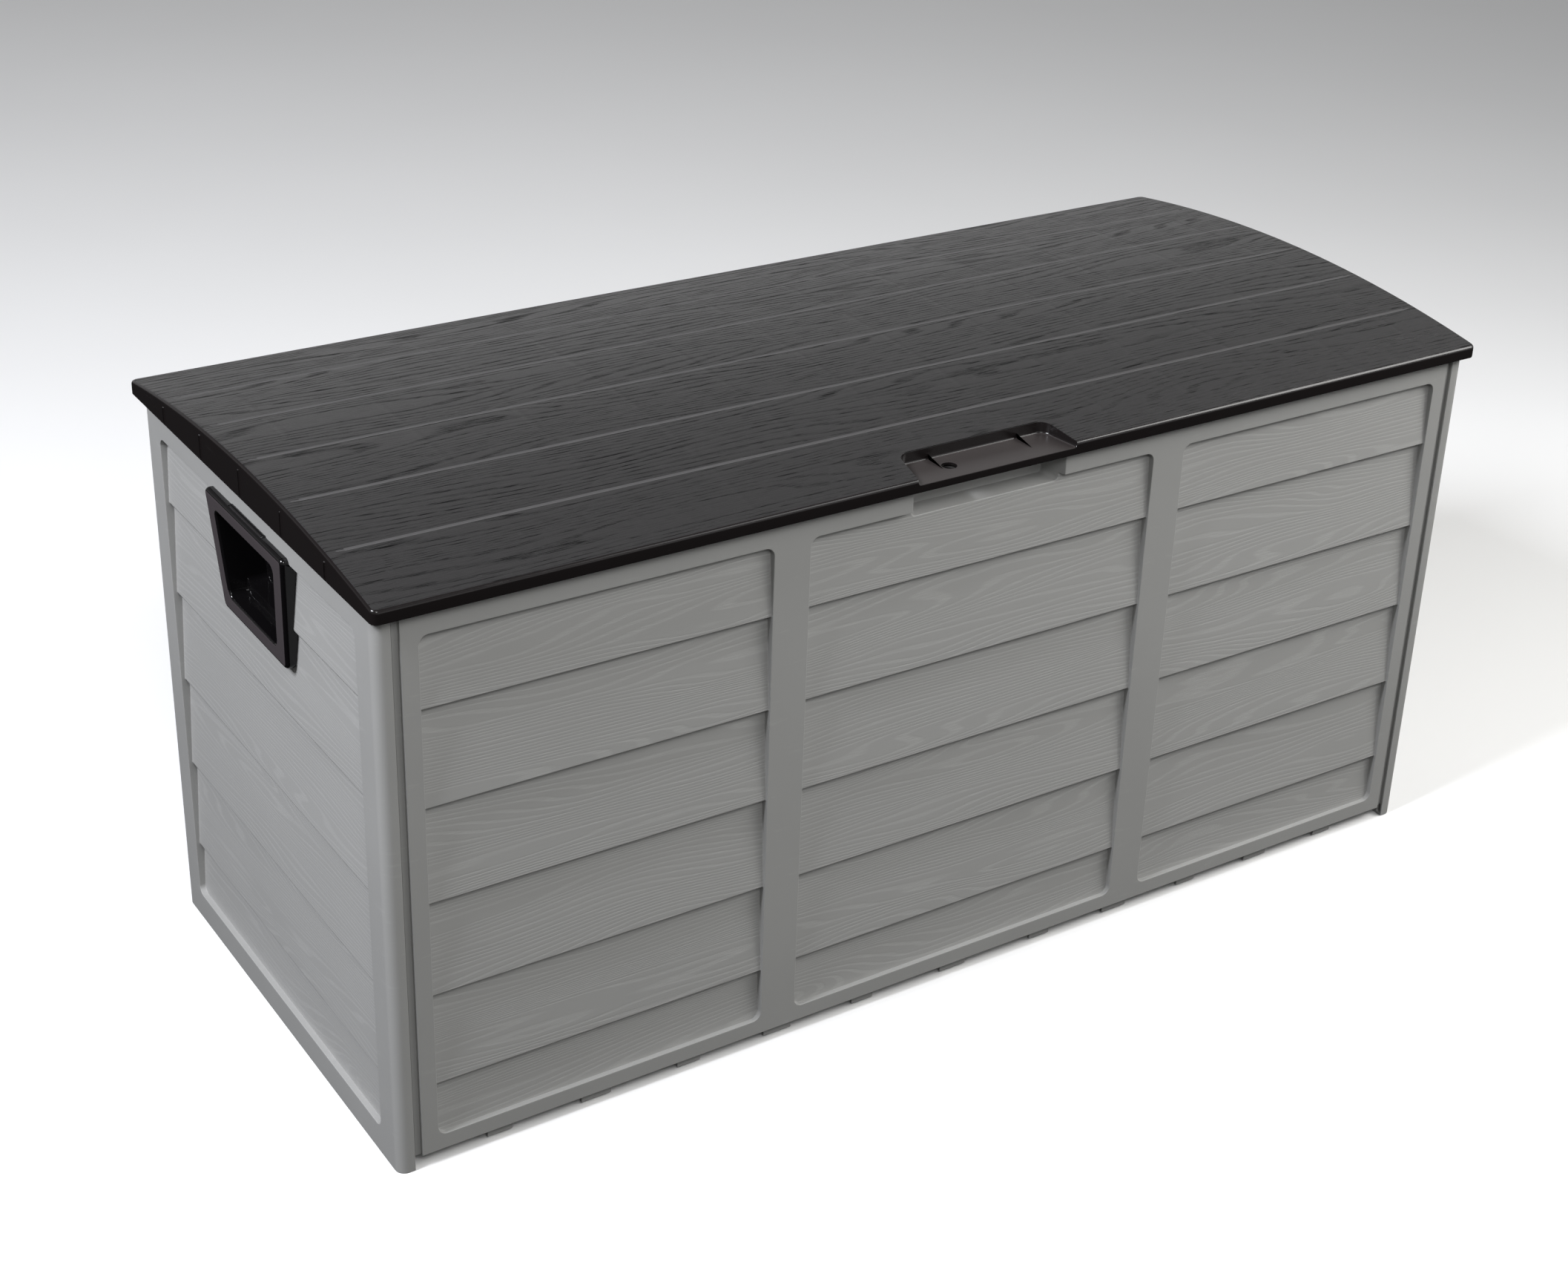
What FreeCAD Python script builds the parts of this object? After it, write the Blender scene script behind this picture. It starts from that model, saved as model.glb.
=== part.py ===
import FreeCAD, Part
import math
import os

# A deck storage box moulded in polypropylene, in millimetres.  X runs along the front,
# Y from the front (-) to the back (+), Z up.  The origin is the middle of the footprint
# of the closed box, on the ground.  Four panels stand on a floor in two halves, and a
# crowned lid turns on three hinges along the back.
#
# Panels are drawn lying in their own frame (u along the panel, d inwards from its
# outer face, z up) and then turned into place.

Vector = FreeCAD.Vector

# Walls and fits
WALL = 3.0                 # moulded skin of every panel, the lid and the floor
RIB = 2.5                  # stiffening ribs
FIT = 0.3                  # gap each side of a part that slides into another
CONTACT_GAP = 0.2          # gap between two faces that are screwed together

# Body
BODY_LENGTH = 1113.0
BODY_HEIGHT = 511.0        # rim of the four panels
BODY_DEPTH = 465.0
GROUND_GAP = 12.0          # front and back panels end above the ground
TOP_RAIL = 25.0
BOTTOM_RAIL = 15.0
CENTRE_BAY = 356.0
MULLION = 35.0
STILE = 15.0               # raised upright at each end of the front and back panels
STRIP = 6.5                # sunk strip between the stile and the corner post
POST_FACE = 14.6           # corner post seen from the front, and depth of a side panel
SIDE_STILE = 33.5
BAY_RADIUS = 8.0
LONG_PANEL_DEPTH = 20.0    # depth of the flanges of the front and back panels

# Shiplap boards moulded in the bays
BOARD_PITCH = 86.3
TOP_BOARD = 63.0           # first board, from the top rail to its lower edge
BOARD_DEEP = 8.0           # top edge of a board, behind the frame
BOARD_PROUD = 2.0          # lower edge of a front board, behind the frame
SIDE_BOARD_PROUD = 3.5
LEAST_BOARD = 15.0

# Tabs under the front and back panels
TAB_WIDE = 28.7
TAB_NARROW = 23.0
TAB_FIRST = 100.7
TAB_PITCH = 90.6
TAB_SETBACK = 6.0
TAB_DROP = 10.0

# Lid
LID_SIDE_GAP = 0.5         # end skirts outside the side panels
LID_FRONT_OVERHANG = 9.5
SKIRT_OVERLAP = 3.0        # skirts reach below the rim of the body
SKIRT_HEIGHT = 12.0
LID_CROWN = 20.0           # rise of the crown above the long edges
LID_CORNER_RADIUS = 6.0
PLANK_COUNT = 6
PLANK_GROOVE_WIDTH = 4.0
PLANK_GROOVE_DEPTH = 1.2
PLANK_END_BORDER = 14.0
LID_RIB_PITCH = 92.0

# Finger tray in the lid, finger pocket in the front panel, padlock hole through both
TRAY_WIDTH = 164.0
TRAY_DEPTH = 40.0
TRAY_STEP = 5.0            # tray floor below the long edge of the lid
TRAY_TAPER = 6.0           # each end leans in towards the back
POCKET_WIDTH = 160.0
POCKET_DEPTH = 22.0
POCKET_DROP = 33.0         # lower edge of the pocket, below the rim
POCKET_FLOOR_RISE = 5.0
POCKET_TAPER = 10.0
PADLOCK_HOLE = 13.0
PADLOCK_X = -36.0
PADLOCK_SETBACK = 12.2     # hole centre behind the front of the body

# Carry handles
HANDLE_TOP_HALF = 80.0
HANDLE_BOTTOM_HALF = 65.0
HANDLE_BELOW_RIM = 19.6
HANDLE_HEIGHT = 104.6
HANDLE_PROUD_TOP = 7.2
HANDLE_PROUD_BOTTOM = 2.4
HANDLE_BORDER_SIDE = 18.5
HANDLE_BORDER_TOP = 14.4
HANDLE_BORDER_BOTTOM = 15.6
HANDLE_RADIUS = 6.0
CUP_DEPTH = 31.0
CUP_WALL = 2.5
CUP_LEDGE_HEIGHT = 8.6
CUP_LEDGE_DEPTH = 13.5
CUP_FIT = 0.5

# Hinges
HINGE_FROM_END = 186.5
HINGE_WIDTH = 70.0
HINGE_PLATE = 2.5
KNUCKLE_RADIUS = 6.3
KNUCKLE_GAP = 0.5
PIN_DIAMETER = 5.0
PIN_CLEARANCE = 0.08
AXIS_BELOW_RIM = 4.0
AXIS_BEHIND_BODY = 11.0
SKIRT_CLEARANCE = 1.2      # between the knuckles and the back skirt of the lid
LEAF_SEAT_DEPTH = 36.0
LEAF_ABOVE_RIM = 1.5
STOP_NOSE_TOP = 8.0        # nose below the hinge axis that the open lid rests on
STOP_NOSE_HEIGHT = 4.0
STOP_NOSE_SHORT = 1.3      # nose ends this far before the axis

# Screws
SCREW_SHANK = 3.5
SCREW_HEAD = 8.0
SCREW_HEAD_HEIGHT = 2.0
SCREW_CLEARANCE = 0.1

# Floor
FLOOR_FIT = 0.5
FLOOR_LIP = 20.0
FLOOR_RIB_PITCH = 90.0
LEDGE_GAP = 12.0           # ledges that carry the floor, above the ground

# Places that follow from the sizes above
LID_BACK_OVERHANG = AXIS_BEHIND_BODY + KNUCKLE_RADIUS + SKIRT_CLEARANCE + WALL
BODY_FRONT = -(BODY_DEPTH + LID_FRONT_OVERHANG + LID_BACK_OVERHANG) / 2 + LID_FRONT_OVERHANG
BODY_BACK = BODY_FRONT + BODY_DEPTH
BODY_MIDDLE = (BODY_FRONT + BODY_BACK) / 2
LID_LENGTH = BODY_LENGTH + 2 * (WALL + LID_SIDE_GAP)
LID_DEPTH = BODY_DEPTH + LID_FRONT_OVERHANG + LID_BACK_OVERHANG
LID_LOW = BODY_HEIGHT - SKIRT_OVERLAP
LID_EDGE = LID_LOW + SKIRT_HEIGHT
RIB_LOW = BODY_HEIGHT + FIT
BAY_TOP = BODY_HEIGHT - TOP_RAIL
BAY_LOW = GROUND_GAP + BOTTOM_RAIL
LONG_HALF = BODY_LENGTH / 2 - POST_FACE - STRIP
TONGUE_END = BODY_LENGTH / 2 - WALL - FLOOR_FIT
TONGUE_FRONT = WALL + FIT
CHANNEL_RIB_NEAR = TONGUE_FRONT + WALL + FIT
AXIS_Y = BODY_BACK + AXIS_BEHIND_BODY
AXIS_Z = BODY_HEIGHT - AXIS_BELOW_RIM
LEAF_LOW = BODY_HEIGHT + LEAF_ABOVE_RIM
LEAF_TOP = LEAF_LOW + HINGE_PLATE
FLOOR_LOW = LEDGE_GAP + WALL + FIT
FLOOR_TOP = FLOOR_LOW + WALL
PADLOCK_Y = BODY_FRONT + PADLOCK_SETBACK
HINGE_PLACES = {
    "left": -(BODY_LENGTH / 2 - HINGE_FROM_END),
    "centre": 0.0,
    "right": BODY_LENGTH / 2 - HINGE_FROM_END,
}
THROUGH = 1.0              # a cutting shape runs this far past the face it opens


def block(x0, x1, y0, y1, z0, z1):
    return Part.makeBox(x1 - x0, y1 - y0, z1 - z0, Vector(x0, y0, z0))


def rod(start, direction, diameter, length):
    return Part.makeCylinder(diameter / 2, length, Vector(*start), Vector(*direction))


def prism(points, direction):
    """Closed outline of 3D points swept along a vector."""
    corners = [Vector(*point) for point in points]
    wire = Part.makePolygon(corners + [corners[0]])
    return Part.Face(wire).extrude(Vector(*direction))


def rounded(solid, direction, radius):
    """Fillet the edges of a prism that run along one direction."""
    axis = Vector(*direction)
    edges = [edge for edge in solid.Edges if edge.tangentAt(edge.FirstParameter).cross(axis).Length < 1e-6]
    return solid.makeFillet(radius, edges)


def turned(solid, angle):
    moved = solid.copy()
    moved.rotate(Vector(0, 0, 0), Vector(0, 0, 1), angle)
    return moved


def placed(solid, x, y, z=0.0):
    moved = solid.copy()
    moved.translate(Vector(x, y, z))
    return moved


def mirrored(solid):
    return solid.mirror(Vector(0, 0, 0), Vector(1, 0, 0))


def screw(start, direction, length):
    """Shank from the head's seat along the direction, head on the other side."""
    back = [-part for part in direction]
    shank = rod(start, direction, SCREW_SHANK, length)
    head = rod(start, back, SCREW_HEAD, SCREW_HEAD_HEIGHT)
    return shank.fuse(head).removeSplitter()


def screw_hole(start, direction, length):
    return rod(start, direction, SCREW_SHANK + 2 * SCREW_CLEARANCE, length)


def step_lines():
    """Heights of the lower edges of the boards, from the top down."""
    steps = []
    height = BAY_TOP - TOP_BOARD
    while height > BAY_LOW + LEAST_BOARD:
        steps.append(height)
        height -= BOARD_PITCH
    return steps


def bay_space(u0, u1, proud, grow):
    """Space in front of one bay's boards.  With grow, the same space one wall larger."""
    slope = (BOARD_DEEP - proud) / BOARD_PITCH
    low = BAY_LOW - grow
    high = BAY_TOP + grow
    steps = step_lines()
    tops = [high] + [step + grow for step in steps]
    bottoms = [step + grow for step in steps] + [low]
    references = steps + [steps[-1] - BOARD_PITCH]
    outline = [(u0 - grow, -THROUGH, low), (u0 - grow, -THROUGH, high)]
    for top, bottom, reference in zip(tops, bottoms, references):
        for height in (top, bottom):
            depth = proud + slope * (height - reference) + grow
            outline.append((u0 - grow, depth, height))
    boards = prism(outline, (u1 - u0 + 2 * grow, 0, 0))
    reach = BOARD_DEEP + grow + 2 * THROUGH
    frame = block(u0 - grow, u1 + grow, -2 * THROUGH, reach, low, high)
    return boards.common(rounded(frame, (0, 1, 0), BAY_RADIUS + grow))


def long_bays():
    half = LONG_HALF - STILE
    inner = CENTRE_BAY / 2
    return [(-half, -inner - MULLION), (-inner, inner), (inner + MULLION, half)]


def long_panel():
    """Front or back panel: framed bays of shiplap, flanges behind, a tongue at each end."""
    bays = long_bays()
    solid = block(-LONG_HALF, LONG_HALF, 0, LONG_PANEL_DEPTH, GROUND_GAP, BODY_HEIGHT)
    hollow = block(-LONG_HALF + WALL, LONG_HALF - WALL, WALL, LONG_PANEL_DEPTH + THROUGH,
                   GROUND_GAP + WALL, BODY_HEIGHT - WALL)
    kept = [bay_space(u0, u1, BOARD_PROUD, WALL) for u0, u1 in bays]
    for u0, u1 in bays:
        middle = (u0 + u1) / 2
        kept.append(block(middle - RIB / 2, middle + RIB / 2, 0, LONG_PANEL_DEPTH,
                          BAY_LOW + WALL, BODY_HEIGHT))
    panel = solid.cut([bay_space(u0, u1, BOARD_PROUD, 0.0) for u0, u1 in bays])
    panel = panel.cut(hollow.cut(kept))
    tongue = block(LONG_HALF - WALL, TONGUE_END, TONGUE_FRONT, TONGUE_FRONT + WALL,
                   GROUND_GAP, BODY_HEIGHT - WALL - FLOOR_FIT)
    return panel.fuse([tongue, mirrored(tongue)] + bottom_tabs()).removeSplitter()


def bottom_tabs():
    """Short tabs under the bottom rail, wide and narrow in turn, set back from the face."""
    places = [(0.0, TAB_WIDE)]
    place = TAB_FIRST
    width = TAB_NARROW
    while place < LONG_HALF - 2 * TAB_WIDE:
        places += [(place, width), (-place, width)]
        width = TAB_WIDE if width == TAB_NARROW else TAB_NARROW
        place += TAB_PITCH
    return [block(u - width / 2, u + width / 2, TAB_SETBACK, TAB_SETBACK + WALL,
                  GROUND_GAP - TAB_DROP, GROUND_GAP) for u, width in places]


def pocket_outline(grow, reach):
    """Finger pocket in plan: wider at the panel's face than at its back."""
    half = POCKET_WIDTH / 2 + grow
    inner = half - POCKET_TAPER
    return [(-half, -reach), (half, -reach), (half, 0), (inner, POCKET_DEPTH + grow),
            (-inner, POCKET_DEPTH + grow), (-half, 0)]


def finger_pocket():
    """Cut for the fingers, with a floor that rises towards the back so that it drains."""
    low = BODY_HEIGHT - POCKET_DROP
    space = prism([(u, d, low) for u, d in pocket_outline(0.0, THROUGH)],
                  (0, 0, POCKET_DROP - WALL))
    half = POCKET_WIDTH / 2 + THROUGH
    wedge = prism([(-half, 0, low), (-half, POCKET_DEPTH, low),
                   (-half, POCKET_DEPTH, low + POCKET_FLOOR_RISE)], (2 * half, 0, 0))
    return space.cut(wedge)


def pocket_housing():
    low = BODY_HEIGHT - POCKET_DROP - WALL
    outline = [(u, max(d, 0.0)) for u, d in pocket_outline(WALL, 0.0)[2:]]
    return prism([(u, d, low) for u, d in outline], (0, 0, POCKET_DROP + WALL))


def padlock_hole():
    inside_pocket = BODY_HEIGHT - POCKET_DROP / 2
    return rod((PADLOCK_X, PADLOCK_Y, inside_pocket), (0, 0, 1), PADLOCK_HOLE, POCKET_DROP)


def long_panel_screw_places():
    """(x, z) of the screws that pin each tongue in its channel."""
    lift = (BODY_HEIGHT - 2 * BAY_LOW) / 2
    u = BODY_LENGTH / 2 - (WALL + POST_FACE) / 2
    return [(u, BAY_LOW + 2 * BOTTOM_RAIL), (u, BAY_LOW + lift), (u, BAY_TOP - 2 * BOTTOM_RAIL)]


def corner_screw(place, diameter=None):
    """Screw (or its hole) through a channel rib and a tongue, drawn in a long panel's frame."""
    u, z = place
    seat = (u, CHANNEL_RIB_NEAR + WALL + CONTACT_GAP, z)
    length = seat[1] - TONGUE_FRONT
    if diameter:
        return rod(seat, (0, -1, 0), diameter, length)
    return screw(seat, (0, -1, 0), length)


def corner_holes():
    """Screw holes at both ends of a long panel, in its own frame."""
    bores = []
    for place in long_panel_screw_places():
        bore = corner_screw(place, SCREW_SHANK + 2 * SCREW_CLEARANCE)
        bores += [bore, mirrored(bore)]
    return bores


def channel_holes():
    """The same screw holes in a side panel's frame, where they cross its channel ribs."""
    near = BODY_DEPTH / 2 - CHANNEL_RIB_NEAR - WALL - CONTACT_GAP
    bores = []
    for u, z in long_panel_screw_places():
        start = (near, BODY_LENGTH / 2 - u, z)
        bore = screw_hole(start, (1, 0, 0), BODY_DEPTH / 2 - TONGUE_FRONT - near)
        bores += [bore, mirrored(bore)]
    return bores


def to_front(solid):
    return placed(solid, 0, BODY_FRONT)


def to_back(solid):
    return placed(turned(solid, 180), 0, BODY_BACK)


def to_left(solid):
    return placed(turned(solid, -90), -BODY_LENGTH / 2, BODY_MIDDLE)


def to_right(solid):
    return placed(turned(solid, 90), BODY_LENGTH / 2, BODY_MIDDLE)


def front_panel():
    u0, u1 = long_bays()[1]
    housing = pocket_housing().cut(bay_space(u0, u1, BOARD_PROUD, 0.0))
    panel = long_panel().fuse(housing).cut([finger_pocket()] + corner_holes())
    return to_front(panel.removeSplitter()).cut(padlock_hole())


def back_panel():
    panel = to_back(long_panel().cut(corner_holes()))
    bores = []
    for x in HINGE_PLACES.values():
        bores += [screw_hole(start, (0, -1, 0), LONG_PANEL_DEPTH / 2) for start in body_leaf_screws(x)]
    return panel.cut(bores)


def side_envelope():
    """Outer form of a side panel, solid behind: the handle's flange is fitted to it."""
    half = BODY_DEPTH / 2
    bay = half - SIDE_STILE
    solid = block(-half, half, 0, POST_FACE, 0, BODY_HEIGHT)
    return solid.cut(bay_space(-bay, bay, SIDE_BOARD_PROUD, 0.0))


def side_panel():
    """Side panel: posts turned in at both ends, channels for the tongues, one wide bay."""
    half = BODY_DEPTH / 2
    bay = half - SIDE_STILE
    hollow = block(-half + WALL, half - WALL, WALL, POST_FACE + THROUGH, WALL, BODY_HEIGHT - WALL)
    kept = [bay_space(-bay, bay, SIDE_BOARD_PROUD, WALL)]
    rib_low = FLOOR_TOP + BOTTOM_RAIL
    for u in (-SIDE_STILE - HANDLE_BOTTOM_HALF, SIDE_STILE + HANDLE_BOTTOM_HALF):
        kept.append(block(u - RIB / 2, u + RIB / 2, 0, POST_FACE, rib_low, BODY_HEIGHT))
    channel_near = half - CHANNEL_RIB_NEAR
    channel = block(channel_near - WALL, channel_near, 0, POST_FACE, 0, BODY_HEIGHT)
    ledge_half = channel_near - WALL
    ledge = block(-ledge_half, ledge_half, 0, POST_FACE, LEDGE_GAP, LEDGE_GAP + WALL)
    kept += [channel, mirrored(channel), ledge]
    panel = side_envelope().cut(hollow.cut(kept))
    return panel.cut([handle_outline_prism(cup_corners(CUP_WALL + CUP_FIT), -THROUGH, CUP_DEPTH)]
                     + handle_screw_holes() + channel_holes()).removeSplitter()


def handle_levels():
    top = BODY_HEIGHT - HANDLE_BELOW_RIM
    return top, top - HANDLE_HEIGHT


def flange_corners():
    top, low = handle_levels()
    return [(-HANDLE_TOP_HALF, top), (HANDLE_TOP_HALF, top),
            (HANDLE_BOTTOM_HALF, low), (-HANDLE_BOTTOM_HALF, low)]


def handle_half_width(height):
    """Half width of the flange's outline at one height."""
    top, low = handle_levels()
    share = (height - low) / (top - low)
    return HANDLE_BOTTOM_HALF + share * (HANDLE_TOP_HALF - HANDLE_BOTTOM_HALF)


def cup_corners(grow):
    """Opening of the handle, or its outline grown by a wall."""
    top, low = handle_levels()
    cup_top = top - HANDLE_BORDER_TOP + grow
    cup_low = low + HANDLE_BORDER_BOTTOM - grow
    half_top = handle_half_width(cup_top) - HANDLE_BORDER_SIDE + grow
    half_low = handle_half_width(cup_low) - HANDLE_BORDER_SIDE + grow
    return [(-half_top, cup_top), (half_top, cup_top), (half_low, cup_low), (-half_low, cup_low)]


def handle_outline_prism(corners, d0, d1):
    sweep = prism([(u, d0, z) for u, z in corners], (0, d1 - d0, 0))
    return rounded(sweep, (0, 1, 0), HANDLE_RADIUS)


def beyond_face():
    """Everything in front of the handle's face, which leans out towards the top."""
    top, low = handle_levels()
    lean = (HANDLE_PROUD_TOP - HANDLE_PROUD_BOTTOM) / HANDLE_HEIGHT
    above = top + HANDLE_HEIGHT
    below = low - HANDLE_HEIGHT
    far = -4 * HANDLE_PROUD_TOP
    outline = [(-HANDLE_PROUD_BOTTOM + lean * HANDLE_HEIGHT, below), (far, below), (far, above),
               (-HANDLE_PROUD_TOP - lean * HANDLE_HEIGHT, above)]
    half = 2 * HANDLE_TOP_HALF
    return prism([(-half, d, z) for d, z in outline], (2 * half, 0, 0))


def handle():
    """Black carry handle: a flange over the boards and a cup behind it for the fingers."""
    front = -2 * HANDLE_PROUD_TOP
    flange = handle_outline_prism(flange_corners(), front, BOARD_DEEP)
    flange = flange.cut(placed(side_envelope(), 0, -CONTACT_GAP))
    low = handle_levels()[1] + HANDLE_BORDER_BOTTOM
    ledge = low + CUP_LEDGE_HEIGHT
    outside = handle_outline_prism(cup_corners(CUP_WALL), front, CUP_DEPTH + CUP_WALL)
    outside = outside.cut(block(-HANDLE_TOP_HALF, HANDLE_TOP_HALF, CUP_LEDGE_DEPTH + CUP_WALL,
                                2 * CUP_DEPTH, low - HANDLE_HEIGHT, ledge - CUP_WALL))
    inside = handle_outline_prism(cup_corners(0.0), front - THROUGH, CUP_DEPTH)
    inside = inside.cut(block(-HANDLE_TOP_HALF, HANDLE_TOP_HALF, CUP_LEDGE_DEPTH, 2 * CUP_DEPTH,
                              low - HANDLE_HEIGHT, ledge))
    solid = flange.fuse(outside).cut([inside, beyond_face()] + handle_screw_holes())
    return solid.removeSplitter()


def handle_screw_places():
    """(u, d, z) of the seats of the two screws that hold a handle, inside the panel."""
    top, low = handle_levels()
    height = (top + low) / 2
    u = handle_half_width(height) - HANDLE_BORDER_SIDE / 2 + CUP_WALL / 2
    return [(-u, BOARD_DEEP + WALL, height), (u, BOARD_DEEP + WALL, height)]


def handle_screw_length():
    return BOARD_DEEP + WALL + HANDLE_PROUD_BOTTOM / 2


def handle_screw_holes():
    return [screw_hole(place, (0, -1, 0), handle_screw_length()) for place in handle_screw_places()]


def handle_screws():
    return [screw(place, (0, -1, 0), handle_screw_length()) for place in handle_screw_places()]


def crown_solid(inset, low, spread=0.0):
    """Solid under the lid's shallow arc, inset by a wall or spread past its sides."""
    half = LID_DEPTH / 2
    radius = (half * half + LID_CROWN * LID_CROWN) / (2 * LID_CROWN)
    centre = LID_EDGE + LID_CROWN - radius
    inner = half - inset + spread
    reach = radius - inset
    edge = centre + math.sqrt(reach * reach - inner * inner)
    crown = centre + reach
    end = LID_LENGTH / 2 - inset + spread
    arc = Part.Arc(Vector(-end, -inner, edge), Vector(-end, 0, crown), Vector(-end, inner, edge))
    corners = [Vector(-end, inner, edge), Vector(-end, inner, low),
               Vector(-end, -inner, low), Vector(-end, -inner, edge)]
    wire = Part.Wire([arc.toShape()] + Part.makePolygon(corners).Edges)
    return Part.Face(wire).extrude(Vector(2 * end, 0, 0))


def crown_height(y):
    half = LID_DEPTH / 2
    radius = (half * half + LID_CROWN * LID_CROWN) / (2 * LID_CROWN)
    return LID_EDGE + LID_CROWN - radius + math.sqrt(radius * radius - y * y)


def plank_lines():
    pitch = LID_DEPTH / PLANK_COUNT
    return [(index - PLANK_COUNT / 2) * pitch for index in range(1, PLANK_COUNT)]


def plank_grooves():
    end = LID_LENGTH / 2 - PLANK_END_BORDER
    grooves = []
    for y in plank_lines():
        top = crown_height(y)
        half = PLANK_GROOVE_WIDTH / 2
        outline = [(-end, y - 2 * half, top + PLANK_GROOVE_DEPTH), (-end, y, top - PLANK_GROOVE_DEPTH),
                   (-end, y + 2 * half, top + PLANK_GROOVE_DEPTH)]
        grooves.append(prism(outline, (2 * end, 0, 0)))
    return grooves


def tray_space(grow):
    """Finger tray: open at the front edge, its ends lean in towards the back."""
    half = TRAY_WIDTH / 2 + grow
    front = -LID_DEPTH / 2 - THROUGH
    back = -LID_DEPTH / 2 + TRAY_DEPTH + grow
    low = LID_EDGE - TRAY_STEP - grow
    outline = [(-half, front, low), (half, front, low), (half - TRAY_TAPER, back, low),
               (-half + TRAY_TAPER, back, low)]
    space = prism(outline, (0, 0, 2 * LID_CROWN))
    rear = [edge for edge in space.Edges
            if abs(edge.tangentAt(0).z) > 0.99 and edge.CenterOfMass.y > front + TRAY_DEPTH / 2]
    return space.makeFillet(BAY_RADIUS, rear)


def lid_ribs():
    """Ribs under the lid: one below each plank joint and a row across."""
    top = LID_EDGE + 2 * LID_CROWN
    end = LID_LENGTH / 2
    ribs = [block(-end, end, y - RIB / 2, y + RIB / 2, RIB_LOW, top) for y in plank_lines()]
    place = LID_RIB_PITCH / 2
    while place < end - LID_RIB_PITCH / 3:
        rib = block(place - RIB / 2, place + RIB / 2, -LID_DEPTH / 2, BODY_BACK, RIB_LOW, top)
        ribs += [rib, mirrored(rib)]
        place += LID_RIB_PITCH
    return ribs


def leaf_seat(x):
    """Block under the lid that a hinge leaf is screwed to."""
    half = HINGE_WIDTH / 2
    return block(x - half, x + half, AXIS_Y - LEAF_SEAT_DEPTH - KNUCKLE_RADIUS, BODY_BACK,
                 LEAF_TOP + CONTACT_GAP, LID_EDGE + 2 * LID_CROWN)


def leaf_room(x):
    """Room for a leaf below its seat, cut out of any rib that crosses it."""
    half = HINGE_WIDTH / 2 + THROUGH
    return block(x - half, x + half, AXIS_Y - LEAF_SEAT_DEPTH - KNUCKLE_RADIUS - THROUGH,
                 BODY_BACK + THROUGH, BODY_HEIGHT, LEAF_TOP + CONTACT_GAP)


def lid():
    plan = rounded(block(-LID_LENGTH / 2, LID_LENGTH / 2, -LID_DEPTH / 2, LID_DEPTH / 2,
                         LID_LOW, LID_EDGE + 2 * LID_CROWN), (0, 0, 1), LID_CORNER_RADIUS)
    outside = crown_solid(0.0, LID_LOW - THROUGH, THROUGH).common(plan)
    kept = lid_ribs() + [leaf_seat(x) for x in HINGE_PLACES.values()] + [tray_space(WALL)]
    hollow = crown_solid(WALL, LID_LOW - THROUGH).cut(kept)
    rooms = [leaf_room(x) for x in HINGE_PLACES.values()]
    bores = [padlock_hole()]
    for x in HINGE_PLACES.values():
        bores += [screw_hole(start, (0, 0, 1), lid_screw_length()) for start in lid_leaf_screws(x)]
    solid = outside.cut([hollow] + rooms).cut(plank_grooves() + [tray_space(0.0)] + bores)
    return solid.removeSplitter()


def hinge_bore(x):
    half = HINGE_WIDTH / 2 + THROUGH
    return rod((x - half, AXIS_Y, AXIS_Z), (1, 0, 0), PIN_DIAMETER + 2 * PIN_CLEARANCE, 2 * half)


def knuckle(x0, x1):
    return rod((x0, AXIS_Y, AXIS_Z), (1, 0, 0), 2 * KNUCKLE_RADIUS, x1 - x0)


def body_leaf(x):
    """Leaf on the back panel: plate, two knuckles, and the nose that stops the open lid."""
    half = HINGE_WIDTH / 2
    inner = HINGE_WIDTH / 4 + KNUCKLE_GAP / 2
    face = BODY_BACK + CONTACT_GAP
    plate = block(x - half, x + half, face, face + HINGE_PLATE, BAY_TOP + CONTACT_GAP,
                  AXIS_Z - THROUGH)
    nose = block(x - half, x + half, face, AXIS_Y - STOP_NOSE_SHORT,
                 AXIS_Z - STOP_NOSE_TOP - STOP_NOSE_HEIGHT, AXIS_Z - STOP_NOSE_TOP)
    parts = [nose]
    for x0, x1 in ((x - half, x - inner), (x + inner, x + half)):
        parts.append(knuckle(x0, x1))
        parts.append(block(x0, x1, face, AXIS_Y, AXIS_Z - KNUCKLE_RADIUS, AXIS_Z - THROUGH))
    holes = [screw_hole(start, (0, -1, 0), HINGE_PLATE + THROUGH) for start in body_leaf_screws(x)]
    return plate.fuse(parts).cut([hinge_bore(x)] + holes).removeSplitter()


def lid_leaf(x):
    """Leaf under the lid: a plate on its seat and one knuckle between the other two."""
    half = HINGE_WIDTH / 2
    inner = HINGE_WIDTH / 4 - KNUCKLE_GAP / 2
    front = AXIS_Y - LEAF_SEAT_DEPTH - KNUCKLE_RADIUS
    plate = block(x - half, x + half, front, BODY_BACK, LEAF_LOW, LEAF_TOP)
    arm = block(x - inner, x + inner, BODY_BACK, AXIS_Y, AXIS_Z + THROUGH, LEAF_TOP)
    arm = arm.cut(block(x - half, x + half, BODY_BACK - THROUGH, BODY_BACK + HINGE_PLATE + THROUGH,
                        AXIS_Z, LEAF_LOW))
    holes = [screw_hole(start, (0, 0, 1), HINGE_PLATE + THROUGH) for start in lid_leaf_screws(x)]
    solid = plate.fuse([arm, knuckle(x - inner, x + inner)])
    return solid.cut([hinge_bore(x)] + holes).removeSplitter()


def screw_row(x):
    spread = HINGE_WIDTH / 2 - SCREW_HEAD
    return [x - spread, x, x + spread]


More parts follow.
